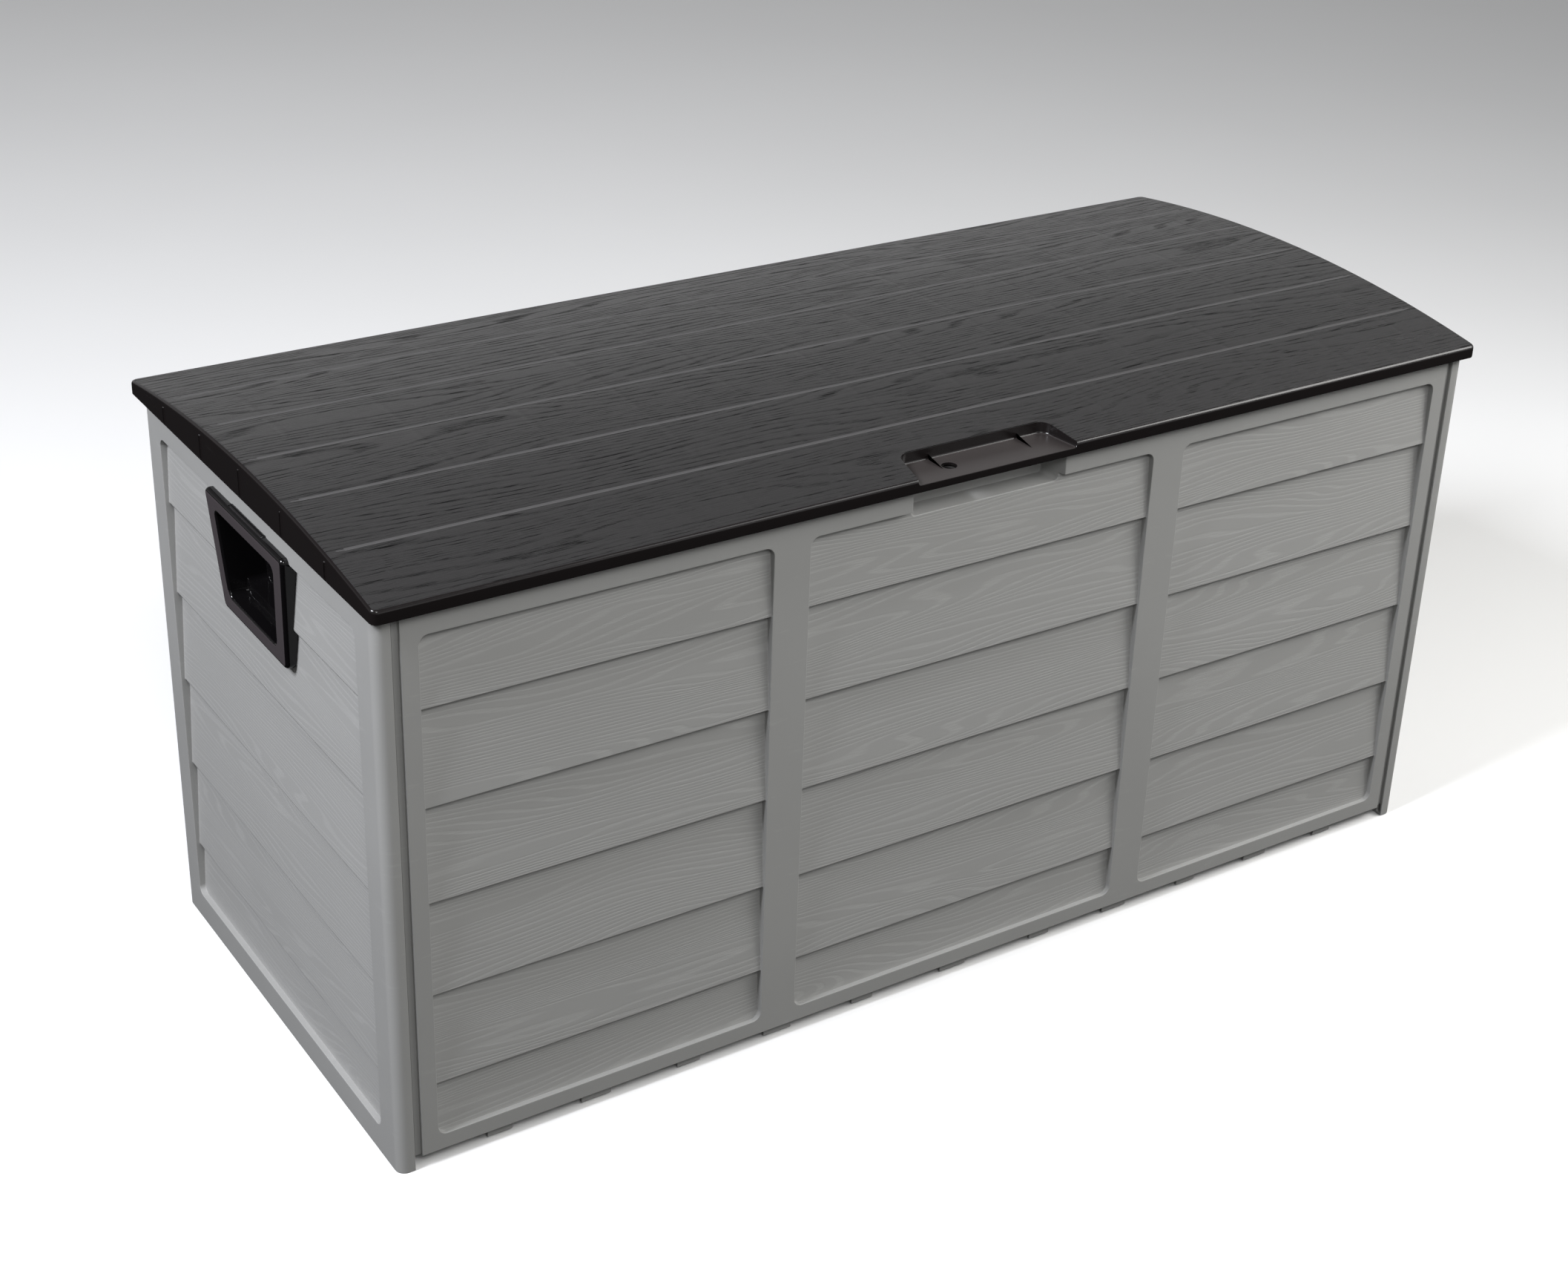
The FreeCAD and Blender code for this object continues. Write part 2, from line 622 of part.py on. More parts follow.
def body_leaf_screws(x):
    """Seats of the screws of a body leaf, below the stop nose."""
    depth = BODY_BACK + CONTACT_GAP + HINGE_PLATE
    height = (BAY_TOP + AXIS_Z - STOP_NOSE_TOP - STOP_NOSE_HEIGHT) / 2
    return [(place, depth, height) for place in screw_row(x)]


def lid_leaf_screws(x):
    """Seats of the screws of a lid leaf, in front of the back panel."""
    y = AXIS_Y - LEAF_SEAT_DEPTH - KNUCKLE_RADIUS + SCREW_HEAD / 2
    return [(place, y, LEAF_LOW) for place in screw_row(x)]


def lid_screw_length():
    return HINGE_PLATE + CONTACT_GAP + 2 * WALL


def hinge_pin(x):
    return rod((x - HINGE_WIDTH / 2, AXIS_Y, AXIS_Z), (1, 0, 0), PIN_DIAMETER, HINGE_WIDTH)


def floor_screw_places():
    reach = BODY_DEPTH / 2 - 2 * LONG_PANEL_DEPTH
    return [(FLOOR_LIP / 2, BODY_MIDDLE + reach * share, FLOOR_TOP) for share in (-1, -1 / 3, 1 / 3, 1)]


def floor_plate():
    """Plan of the whole floor, notched round the corner channels."""
    long_edge = WALL + 2 * FLOOR_FIT
    ends = LONG_PANEL_DEPTH + FLOOR_FIT
    middle = block(-LONG_HALF + WALL + FLOOR_FIT, LONG_HALF - WALL - FLOOR_FIT,
                   BODY_FRONT + long_edge, BODY_BACK - long_edge, FLOOR_LOW, FLOOR_TOP)
    across = block(-BODY_LENGTH / 2 + 2 * WALL, BODY_LENGTH / 2 - 2 * WALL,
                   BODY_FRONT + ends, BODY_BACK - ends, FLOOR_LOW, FLOOR_TOP)
    return middle.fuse(across)


def floor_ribs(start):
    """Ribs from the plate down to the ground, on the right half of the floor."""
    front = BODY_FRONT + LONG_PANEL_DEPTH + FLOOR_FIT
    back = BODY_BACK - LONG_PANEL_DEPTH - FLOOR_FIT
    end = BODY_LENGTH / 2 - POST_FACE - FLOOR_FIT
    ribs = [block(end - RIB, end, front, back, 0, FLOOR_LOW + THROUGH)]
    place = start
    while place < end - FLOOR_RIB_PITCH / 2:
        ribs.append(block(place, place + RIB, front, back, 0, FLOOR_LOW + THROUGH))
        place += FLOOR_RIB_PITCH
    rows = round((back - front) / FLOOR_RIB_PITCH)
    for index in range(rows + 1):
        y = front + (back - front - RIB) * index / rows
        ribs.append(block(start, end, y, y + RIB, 0, FLOOR_LOW + THROUGH))
    return ribs


def floor_halves():
    """Two halves: the left one carries a lip that the right one is screwed down to."""
    reach = BODY_LENGTH
    right_side = block(FIT / 2, reach, -reach, reach, 0, reach)
    left_side = block(-reach, -FIT / 2, -reach, reach, 0, reach)
    right = floor_plate().common(right_side).fuse(floor_ribs(FLOOR_LIP + FIT))
    left = floor_plate().common(left_side).fuse([mirrored(rib) for rib in floor_ribs(FLOOR_LIP + FIT)])
    front = BODY_FRONT + LONG_PANEL_DEPTH + FLOOR_FIT
    back = BODY_BACK - LONG_PANEL_DEPTH - FLOOR_FIT
    lip_top = FLOOR_LOW - FIT
    lip = block(-FLOOR_LIP, FLOOR_LIP, front, back, lip_top - WALL, lip_top)
    bridge = block(-FLOOR_LIP, -FIT / 2, front, back, lip_top, FLOOR_LOW)
    holes = [screw_hole(place, (0, 0, -1), 2 * WALL + FIT) for place in floor_screw_places()]
    left = left.fuse([lip, bridge]).cut(holes)
    return left.removeSplitter(), right.cut(holes).removeSplitter()


def save(name, solids):
    """One STEP file per node; a group of fasteners is a compound of separate solids."""
    shape = solids[0] if len(solids) == 1 else Part.makeCompound(solids)
    count = len(shape.Solids)
    if count != len(solids) or not shape.isValid():
        raise ValueError("%s: %d solids, valid %s" % (name, count, shape.isValid()))
    shape.exportStep("parts/%s.step" % name)
    box = shape.BoundBox
    print("%-28s %7.1f cm3  x %.1f..%.1f  y %.1f..%.1f  z %.1f..%.1f" % (
        name, shape.Volume / 1000, box.XMin, box.XMax, box.YMin, box.YMax, box.ZMin, box.ZMax))


def whole(shape):
    """The single solid inside the result of a boolean."""
    return shape.Solids[0] if len(shape.Solids) == 1 else shape


def main():
    os.makedirs("parts", exist_ok=True)
    save("lid", [whole(lid())])
    save("front_panel", [whole(front_panel())])
    save("back_panel", [whole(back_panel())])
    side = side_panel()
    save("left_side_panel", [whole(to_left(side))])
    save("right_side_panel", [whole(to_right(side))])
    left_floor, right_floor = floor_halves()
    save("left_floor_panel", [whole(left_floor)])
    save("right_floor_panel", [whole(right_floor)])
    save("floor_screws", [screw(place, (0, 0, -1), 2 * WALL) for place in floor_screw_places()])
    grip = handle()
    save("left_handle", [whole(to_left(grip))])
    save("right_handle", [whole(to_right(grip))])
    save("left_handle_screws", [to_left(part) for part in handle_screws()])
    save("right_handle_screws", [to_right(part) for part in handle_screws()])
    for side_name, x in HINGE_PLACES.items():
        save("body_hinge_leaf_" + side_name, [whole(body_leaf(x))])
        save("lid_hinge_leaf_" + side_name, [whole(lid_leaf(x))])
        save("hinge_pin_" + side_name, [hinge_pin(x)])
        save("body_leaf_screws_" + side_name,
             [screw(start, (0, -1, 0), LONG_PANEL_DEPTH / 2) for start in body_leaf_screws(x)])
        save("lid_leaf_screws_" + side_name,
             [screw(start, (0, 0, 1), lid_screw_length()) for start in lid_leaf_screws(x)])
    right_screws = [corner_screw(place) for place in long_panel_screw_places()]
    left_screws = [mirrored(part) for part in right_screws]
    save("corner_screws_front_left", [to_front(part) for part in left_screws])
    save("corner_screws_front_right", [to_front(part) for part in right_screws])
    save("corner_screws_back_right", [to_back(part) for part in left_screws])
    save("corner_screws_back_left", [to_back(part) for part in right_screws])


main()
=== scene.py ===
import math
from contextlib import contextmanager

import bmesh
import bpy
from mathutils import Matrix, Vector


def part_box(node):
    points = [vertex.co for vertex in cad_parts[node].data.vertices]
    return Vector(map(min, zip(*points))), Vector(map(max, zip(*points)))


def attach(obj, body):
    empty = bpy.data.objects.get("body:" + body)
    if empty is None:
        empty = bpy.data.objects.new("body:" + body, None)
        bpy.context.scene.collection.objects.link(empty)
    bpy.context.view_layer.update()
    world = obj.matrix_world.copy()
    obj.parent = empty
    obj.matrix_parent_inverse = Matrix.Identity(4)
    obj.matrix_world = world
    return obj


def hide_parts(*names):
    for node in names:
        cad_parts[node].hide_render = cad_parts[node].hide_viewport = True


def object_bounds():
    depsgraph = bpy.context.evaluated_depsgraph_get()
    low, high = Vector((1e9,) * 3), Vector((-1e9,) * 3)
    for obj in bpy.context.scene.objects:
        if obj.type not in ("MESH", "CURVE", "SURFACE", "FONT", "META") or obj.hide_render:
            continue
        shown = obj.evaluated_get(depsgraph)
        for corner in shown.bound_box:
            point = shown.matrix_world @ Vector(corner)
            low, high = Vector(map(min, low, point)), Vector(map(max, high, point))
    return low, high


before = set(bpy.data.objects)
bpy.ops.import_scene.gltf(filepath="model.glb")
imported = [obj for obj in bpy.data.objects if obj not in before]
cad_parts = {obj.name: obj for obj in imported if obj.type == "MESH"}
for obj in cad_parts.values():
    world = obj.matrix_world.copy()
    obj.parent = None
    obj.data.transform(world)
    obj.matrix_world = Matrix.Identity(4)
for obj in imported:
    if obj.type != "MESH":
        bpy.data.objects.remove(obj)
cad_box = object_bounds()

# A deck storage box moulded in polypropylene.  The shells are modelled here in millimetres
# and brought to metres when they are finished.  A panel is modelled lying in its own frame,
# u along X, depth inwards along +Y from its outer face, Z up, and then turned into place.

MM = 0.001
SAME_PLACE = 0.01          # places closer than this are the same


def span(node):
    """Lowest and highest corners of a CAD node, in millimetres."""
    low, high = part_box(node)
    return low / MM, high / MM


LID_LOW, LID_HIGH = span("lid")
SIDE_LOW, SIDE_HIGH = span("left_side_panel")
BODY_FRONT, BODY_BACK = SIDE_LOW.y, SIDE_HIGH.y
BODY_MIDDLE = (BODY_FRONT + BODY_BACK) / 2
SIDE_HALF = (BODY_BACK - BODY_FRONT) / 2
BODY_END = -SIDE_LOW.x
RIM = SIDE_HIGH.z
POST = SIDE_HIGH.x - SIDE_LOW.x
FRONT_LOW, FRONT_HIGH = span("front_panel")
TONGUE_END = FRONT_HIGH.x

# Walls
WALL = 3.0
RIB = 2.5
OPEN = 2.0                 # a cutting shape runs this far past the face it opens
FACE_SLACK = 1.0           # a face or edge this near a level counts as lying on it

# Front and back panels
GROUND_GAP = 12.0
TOP_RAIL = 25.0
BOTTOM_RAIL = 15.0
CENTRE_BAY = 356.0
MULLION = 35.0
STILE = 15.0
STRIP = 6.5
PANEL_HALF = BODY_END - POST - STRIP
PANEL_DEPTH = 20.0
TONGUE_SETBACK = 3.3
TONGUE_BELOW_RIM = 3.5
SEAM_WIDTH = 1.2           # slot down the tongue where it enters the corner post
BAY_TOP = RIM - TOP_RAIL
BAY_LOW = GROUND_GAP + BOTTOM_RAIL
BAY_RADIUS = 8.0
BAY_SEGMENTS = 6

# Shiplap boards
BOARD_PITCH = 86.3
TOP_BOARD = 63.0
BOARD_DEEP = 8.0
BOARD_PROUD = 2.0
SIDE_BOARD_PROUD = 3.5
SIDE_BOARD_NOSE = 3.0      # radius under each board's lower edge
NOSE_SEGMENTS = 4
BOARD_SHALLOWEST = 1.5     # the boards' faces lie deeper in the panel than this
LEDGE_DRAFT = 0.8          # the ledge under a board leans a little, to leave the mould
LEDGES = 5
STEPS = [BAY_TOP - TOP_BOARD - BOARD_PITCH * index for index in range(LEDGES)]

# Tabs under the front and back panels
TAB_WIDE = 28.7
TAB_NARROW = 23.0
TAB_FIRST = 100.7
TAB_PITCH = 90.6
TAB_ROWS = 5
TAB_SETBACK = 6.0

# Side panels
SIDE_STILE = 33.5
CHANNEL_RIB = 9.6          # far face of the channel rib, in from the end of the panel
POST_ROUNDING = 9.0
POST_SEGMENTS = 8
SIDE_RIB_AT = 98.5
SIDE_RIB_LOW = 2 * BAY_LOW
LEDGE_LOW = 12.0

# Finger pocket and padlock hole
POCKET_HALF = 80.0
POCKET_TAPER = 10.0
POCKET_WALL_START = 1.0    # the pocket's walls begin this far behind the panel's face
POCKET_DEPTH = 22.0
POCKET_DROP = 33.0
POCKET_MIDDLE = RIM - POCKET_DROP / 2
POCKET_FLOOR_RISE = 5.0
POCKET_ROUNDING = 4.0
POCKET_SEGMENTS = 5
PADLOCK_X = -36.0
PADLOCK_Y = BODY_FRONT + 12.2
PADLOCK_RADIUS = 6.5
PADLOCK_SIDES = 40

# Lid
LID_EDGE = LID_LOW.z + 12.0
LID_CROWN = LID_HIGH.z - LID_EDGE
LID_HALF_LENGTH = LID_HIGH.x
LID_HALF_DEPTH = LID_HIGH.y
CROWN_RADIUS = (LID_HALF_DEPTH ** 2 + LID_CROWN ** 2) / (2 * LID_CROWN)
CROWN_SIDES = 700          # none of its corners falls on the lid's rounded corners
LID_CORNER = 6.0
LID_ROUNDING = 3.2         # along the top edges
LID_SEGMENTS = 4
PLANKS = 6
PLANK_PITCH = 2 * LID_HALF_DEPTH / PLANKS
PLANK_LINES = [PLANK_PITCH * (index - PLANKS / 2) for index in range(1, PLANKS)]
GROOVE_HALF = 1.8
GROOVE_DEPTH = 0.6
GROOVE_BORDER = 6.0        # a groove stops this far from the lid's end
GROOVE_FADE = 10.0         # and runs out to nothing over this length
GROOVE_POINT = 0.001       # size of its point, as a share of its width
SKIRT_LINE = 1.1           # raised line down the end skirt below each plank line
SKIRT_LINE_RISE = 0.35
LID_RIB_PITCH = 92.0
LID_RIBS = 6
LID_RIB_LOW = RIM + 0.3
TRAY_HALF = 82.0
TRAY_DEPTH = 40.0
TRAY_STEP = 5.0
TRAY_TAPER = 6.0
TRAY_CORNER = 9.0
TRAY_CORNER_SEGMENTS = 7
TRAY_FILLET = 2.5
TRAY_LIP = 2.6
TRAY_SEGMENTS = 4
LEAF_CLEAR = 1.0
LEAF_SEATING = 0.2         # a hinge leaf lies this far below its block

# Handles
HANDLE_TOP = RIM - 19.6
HANDLE_LOW = HANDLE_TOP - 104.6
HANDLE_TOP_HALF = 80.0
HANDLE_LOW_HALF = 65.0
HANDLE_PROUD_TOP = 7.2
HANDLE_PROUD_LOW = 2.4
HANDLE_CORNER = 6.0
CORNER_SEGMENTS = 6
HANDLE_ROUNDING = 4.0
ROUNDING_SEGMENTS = 5
HANDLE_MOUTH = 2.0         # rounding of the opening's edge
MOUTH_SEGMENTS = 4
HANDLE_EDGE = 0.7          # every other edge of the handle
HANDLE_BORDER = 18.5
OPENING_TOP = HANDLE_TOP - 14.4
OPENING_LOW = HANDLE_LOW + 15.6
CUP_DEPTH = 31.0
CUP_WALL = 2.5
CUP_CLEAR = 0.5            # play round the cup where it passes through the panel
TROUGH_DEPTH = 13.5
TROUGH_LEDGE = OPENING_LOW + 8.6
HANDLE_GAP = 0.2
STRIP_HALF = 34.0          # shallow raised strip on the top of the flange
STRIP_FRONT, STRIP_BACK = -3.4, -0.2
STRIP_RISE = 1.2
STRIP_SUNK = 1.0

EDGE_ROUNDING = 0.8        # every moulded edge
SHARPEST = math.radians(34)
FLATTEST = math.radians(0.05)

# Shares of a normal or an edge along an axis
STRAIGHT = 0.99            # an edge or face from here up runs or looks straight along it
HANDLE_FACING = 0.98       # the flat face of the handle looks outwards from here up
FACING = 0.9               # any other face looks along it from here up
LOOKING_UP = 0.8           # the crowned top of the lid looks up from here up
UPRIGHT = 0.1              # a face below this lies along it


# Modelling tools

def only(obj):
    """Makes one object the selected and active one."""
    bpy.ops.object.select_all(action="DESELECT")
    obj.select_set(True)
    bpy.context.view_layer.objects.active = obj
    return obj


@contextmanager
def editing(obj):
    """Edit mode on one object for the length of a with block."""
    only(obj)
    bpy.ops.object.mode_set(mode="EDIT")
    yield
    bpy.ops.object.mode_set(mode="OBJECT")


def pick(obj, kind, test):
    """In edit mode, selects the vertices, edges or faces that pass a test, and nothing else."""
    bpy.ops.mesh.select_mode(type=kind)
    bpy.ops.mesh.select_all(action="DESELECT")
    form = bmesh.from_edit_mesh(obj.data)
    for part in {"VERT": form.verts, "EDGE": form.edges, "FACE": form.faces}[kind]:
        if test(part):
            part.select_set(True)
    bmesh.update_edit_mesh(obj.data)


def middle(edge):
    return (edge.verts[0].co + edge.verts[1].co) / 2


def runs_along(edge, axis):
    """True if an edge is parallel to axis 0, 1 or 2."""
    way = edge.verts[1].co - edge.verts[0].co
    return abs(way[axis]) > STRAIGHT * way.length


def near(a, b):
    return abs(a - b) < SAME_PLACE


def block(low, high):
    """A cube brought to size between two corners."""
    bpy.ops.object.select_all(action="DESELECT")
    centre = [(a + b) / 2 for a, b in zip(low, high)]
    size = [b - a for a, b in zip(low, high)]
    bpy.ops.mesh.primitive_cube_add(size=1, location=centre, scale=size)
    bpy.ops.object.transform_apply(location=True, rotation=False, scale=True)
    return bpy.context.object


def round_edges(obj, radius, segments, test):
    """Rounds the edges that pass a test."""
    with editing(obj):
        pick(obj, "EDGE", test)
        bpy.ops.mesh.bevel(offset=radius, segments=segments, affect="EDGES", clamp_overlap=False)
    return obj


def shift(obj, way, test):
    """Moves the vertices that pass a test."""
    with editing(obj):
        pick(obj, "VERT", test)
        bpy.ops.transform.translate(value=way)
    return obj


def carve(obj, tools, operation="DIFFERENCE"):
    """Cuts tools out of a shape, adds them to it or keeps what they share."""
    for tool in tools:
        only(obj)
        change = obj.modifiers.new("carve", "BOOLEAN")
        change.operation = operation
        change.solver = "EXACT"
        change.object = tool
        bpy.ops.object.modifier_apply(modifier=change.name)
        bpy.data.objects.remove(tool)
    return obj


def both_sides(obj):
    """The shape and its mirror image across x = 0, as two objects."""
    only(obj)
    bpy.ops.object.duplicate()
    twin = bpy.context.object
    twin.scale.x = -1
    bpy.ops.object.transform_apply(location=False, rotation=False, scale=True)
    with editing(twin):
        bpy.ops.mesh.select_all(action="SELECT")
        bpy.ops.mesh.normals_make_consistent(inside=False)
    return [obj, twin]


def turned_into_place(obj, angle, x, y):
    """Turns a shape about the upright axis by degrees and moves it, all in its mesh."""
    obj.rotation_euler.z = math.radians(angle)
    obj.location = (x, y, 0)
    only(obj)
    bpy.ops.object.transform_apply(location=True, rotation=True, scale=False)
    return obj


def soften(obj, width=EDGE_ROUNDING, segments=2, splits=()):
    """Gives every sharp edge the small radius of a moulding, with flat faces kept flat.

    Splits are (axis, place) pairs of planes that part ring-shaped faces into simple ones.
    """
    with editing(obj):
        bpy.ops.mesh.select_all(action="SELECT")
        bpy.ops.mesh.remove_doubles(threshold=SAME_PLACE)
        bpy.ops.mesh.dissolve_limited(angle_limit=FLATTEST)
        bpy.ops.mesh.normals_make_consistent(inside=False)
        for axis, place in splits:
            way = [float(index == axis) for index in range(3)]
            bpy.ops.mesh.select_all(action="SELECT")
            bpy.ops.mesh.bisect(plane_co=[place * part for part in way], plane_no=way)
    rounding = obj.modifiers.new("rounding", "BEVEL")
    rounding.width = width
    rounding.segments = segments
    rounding.limit_method = "ANGLE"
    rounding.angle_limit = SHARPEST
    rounding.use_clamp_overlap = False
    bpy.ops.object.modifier_apply(modifier=rounding.name)
    bpy.ops.object.shade_smooth_by_angle(angle=SHARPEST)
    shading = obj.modifiers.new("shading", "WEIGHTED_NORMAL")
    shading.keep_sharp = True
    bpy.ops.object.modifier_apply(modifier=shading.name)
    return obj


def finished(obj, body, node):
    """Brings a piece to metres and puts it on its body in place of its CAD node."""
    obj.name = node + "_moulding"
    obj.data.name = obj.name
    obj.scale = (MM, MM, MM)
    only(obj)
    bpy.ops.object.transform_apply(location=False, rotation=False, scale=True)
    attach(obj, body)
    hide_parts(node)
    return obj


def coat(obj, materials, choose):
    """Gives each face the material whose number a rule picks from its middle and normal."""
    obj.data.materials.clear()
    for material in materials:
        obj.data.materials.append(material)
    for face in obj.data.polygons:
        face.material_index = choose(face.center, face.normal)
    return obj


# Panels

def bay_space(u0, u1, proud, grow=0.0, nose=0.0):
    """The room in front of a bay's shiplap boards, or that room grown by a wall.

    The lower edge of each board can have a rounded nose.
    """
    slope = (BOARD_DEEP - proud) / BOARD_PITCH
    deep = BOARD_DEEP + grow
    low, high = BAY_LOW - grow, BAY_TOP + grow
    space = block((u0 - grow, -OPEN - grow, low), (u1 + grow, deep, high))
    ledges = [step + grow for step in STEPS]
    with editing(space):
        for height in ledges:
            for cut in (height, height - LEDGE_DRAFT):
                bpy.ops.mesh.select_all(action="SELECT")
                bpy.ops.mesh.bisect(plane_co=(0, 0, cut), plane_no=(0, 0, 1))
    for height in ledges:
        shift(space, (0, proud - BOARD_DEEP, 0), lambda v: near(v.co.y, deep) and near(v.co.z, height))
    top_depth = proud + slope * (high - ledges[0])
    low_depth = proud + slope * (low - ledges[-1] + BOARD_PITCH)
    shift(space, (0, top_depth - BOARD_DEEP, 0), lambda v: near(v.co.y, deep) and near(v.co.z, high))
    shift(space, (0, low_depth - BOARD_DEEP, 0), lambda v: near(v.co.y, deep) and near(v.co.z, low))
    if nose:
        round_edges(space, nose, NOSE_SEGMENTS,
                    lambda e: runs_along(e, 0) and near(middle(e).y, proud + grow)
                    and any(near(middle(e).z, height) for height in ledges))
    return round_edges(space, BAY_RADIUS + grow, BAY_SEGMENTS,
                       lambda e: runs_along(e, 1) and (near(middle(e).z, low) or near(middle(e).z, high)))


def long_bays():
    """Left and right ends of the three bays of a long panel."""
    half = PANEL_HALF - STILE
    inner = CENTRE_BAY / 2
    return [(-half, -inner - MULLION), (-inner, inner), (inner + MULLION, half)]


def tabs():
    """Short tabs under the bottom rail, wide and narrow in turn."""
    places = [(0.0, TAB_WIDE)]
    for index in range(TAB_ROWS):
        width = TAB_WIDE if index % 2 else TAB_NARROW
        place = TAB_FIRST + TAB_PITCH * index
        places += [(place, width), (-place, width)]
    return [block((u - width / 2, TAB_SETBACK, FRONT_LOW.z),
                  (u + width / 2, TAB_SETBACK + WALL, GROUND_GAP + WALL / 2)) for u, width in places]


def finger_pocket(grow=0.0):
    """Room for the fingers, narrower at the back, with a floor that rises to drain."""
    reach = OPEN if grow == 0 else -POCKET_WALL_START
    ceiling = RIM - WALL if grow == 0 else RIM
    space = block((-POCKET_HALF - grow, -reach, RIM - POCKET_DROP - grow),
                  (POCKET_HALF + grow, POCKET_DEPTH + grow, ceiling))
    halfway = POCKET_DEPTH / 2
    for way in (-1, 1):
        shift(space, (-way * POCKET_TAPER, 0, 0), lambda v: v.co.y > halfway and v.co.x * way > 0)
    shift(space, (0, 0, POCKET_FLOOR_RISE), lambda v: v.co.y > halfway and v.co.z < POCKET_MIDDLE)
    return round_edges(space, POCKET_ROUNDING + grow, POCKET_SEGMENTS,
                       lambda e: abs(e.verts[0].co.y - e.verts[1].co.y) > halfway
                       and middle(e).z < POCKET_MIDDLE)


def padlock_bore(face_y):
    """Padlock hole through the rim and the lid, in the frame of a piece whose face is at face_y."""
    bpy.ops.object.select_all(action="DESELECT")
    bpy.ops.mesh.primitive_cylinder_add(vertices=PADLOCK_SIDES, radius=PADLOCK_RADIUS, depth=POCKET_DROP,
                                        location=(PADLOCK_X, PADLOCK_Y - face_y, RIM + WALL))
    bpy.ops.object.transform_apply(location=True, rotation=False, scale=False)
    return bpy.context.object


def long_panel(pocket):
    """Front or back panel: three framed bays of boards, flanges, ribs, tongues and tabs."""
    panel = block((-PANEL_HALF, 0, GROUND_GAP), (PANEL_HALF, PANEL_DEPTH, RIM))
    hollow = block((-PANEL_HALF + WALL, WALL, GROUND_GAP + WALL),
                   (PANEL_HALF - WALL, PANEL_DEPTH + OPEN, RIM - WALL))
    kept = [bay_space(u0, u1, BOARD_PROUD, WALL) for u0, u1 in long_bays()]
    for u0, u1 in long_bays():
        rib = (u0 + u1) / 2
        kept.append(block((rib - RIB / 2, 0, BAY_LOW), (rib + RIB / 2, PANEL_DEPTH, RIM)))
    carve(panel, [carve(hollow, kept)])
    if pocket:
        carve(panel, [finger_pocket(WALL)], "UNION")
        carve(panel, [finger_pocket(), padlock_bore(BODY_FRONT)])
    carve(panel, [bay_space(u0, u1, BOARD_PROUD) for u0, u1 in long_bays()])
    tongue = block((PANEL_HALF - WALL / 2, TONGUE_SETBACK, GROUND_GAP),
                   (TONGUE_END, TONGUE_SETBACK + WALL, RIM - TONGUE_BELOW_RIM))
    seam = BODY_END - POST
    slot = block((seam - SEAM_WIDTH, 0, -OPEN),
                 (seam + SEAM_WIDTH / 2, TONGUE_SETBACK + WALL / 2, RIM))
    carve(tongue, [slot])
    return carve(panel, both_sides(tongue) + tabs(), "UNION")


def board_rule(bays):
    """Material rule: 1 on the boards of the bays, 0 on the frame and the inside."""
    def choose(centre, normal):
        in_bay = any(u0 < centre.x < u1 for u0, u1 in bays) and BAY_LOW < centre.z < BAY_TOP
        return int(in_bay and normal.y < -FACING and centre.y > BOARD_SHALLOWEST)
    return choose


def side_envelope(grow=0.0):
    """A side panel's outer form, solid behind, with both vertical corners rounded."""
    bay = SIDE_HALF - SIDE_STILE
    solid = block((-SIDE_HALF, grow, 0), (SIDE_HALF, POST, RIM))
    round_edges(solid, POST_ROUNDING, POST_SEGMENTS,
                lambda e: runs_along(e, 2) and near(middle(e).y, grow))
    return carve(solid, [bay_space(-bay, bay, SIDE_BOARD_PROUD, nose=SIDE_BOARD_NOSE)])


def side_panel():
    """Side panel: rounded posts turned in at both ends, one wide bay, channels and ribs."""
    bay = SIDE_HALF - SIDE_STILE
    hollow = block((-SIDE_HALF + WALL, WALL, WALL), (SIDE_HALF - WALL, POST + OPEN, RIM - WALL))
    round_edges(hollow, POST_ROUNDING - WALL, POST_SEGMENTS,
                lambda e: runs_along(e, 2) and near(middle(e).y, WALL))
    kept = [bay_space(-bay, bay, SIDE_BOARD_PROUD, WALL)]
    near_end = SIDE_HALF - CHANNEL_RIB
    kept += both_sides(block((near_end, 0, -OPEN), (near_end + WALL, POST, RIM)))
    kept += both_sides(block((SIDE_RIB_AT - RIB / 2, 0, SIDE_RIB_LOW),
                             (SIDE_RIB_AT + RIB / 2, POST, RIM)))
    kept.append(block((-near_end, 0, LEDGE_LOW), (near_end, POST, LEDGE_LOW + WALL)))
    carve(hollow, kept)
    return carve(side_envelope(), [hollow, opening_prism(CUP_WALL + CUP_CLEAR, -OPEN, CUP_DEPTH)])


# Handles

def handle_half(height):
    """Half width of the handle's flange at one height."""
    share = (height - HANDLE_LOW) / (HANDLE_TOP - HANDLE_LOW)
    return HANDLE_LOW_HALF + share * (HANDLE_TOP_HALF - HANDLE_LOW_HALF)


def leaning_prism(low, high, half_low, half_high, d0, d1, corner):
    """A block whose ends lean, wider at the top, with its corners rounded."""
    solid = block((-half_high, d0, low), (half_high, d1, high))
    for way in (-1, 1):
        shift(solid, (way * (half_low - half_high), 0, 0),
              lambda v: near(v.co.z, low) and v.co.x * way > 0)
    return round_edges(solid, corner, CORNER_SEGMENTS, lambda e: runs_along(e, 1))


def opening_prism(grow, d0, d1, low=OPENING_LOW):
    """The handle's opening between two depths, or that opening grown by a wall."""
    top = OPENING_TOP + grow
    bottom = low - grow
    half_top = handle_half(top) - HANDLE_BORDER + grow
    half_low = handle_half(bottom) - HANDLE_BORDER + grow
    return leaning_prism(bottom, top, half_low, half_top, d0, d1, HANDLE_CORNER)


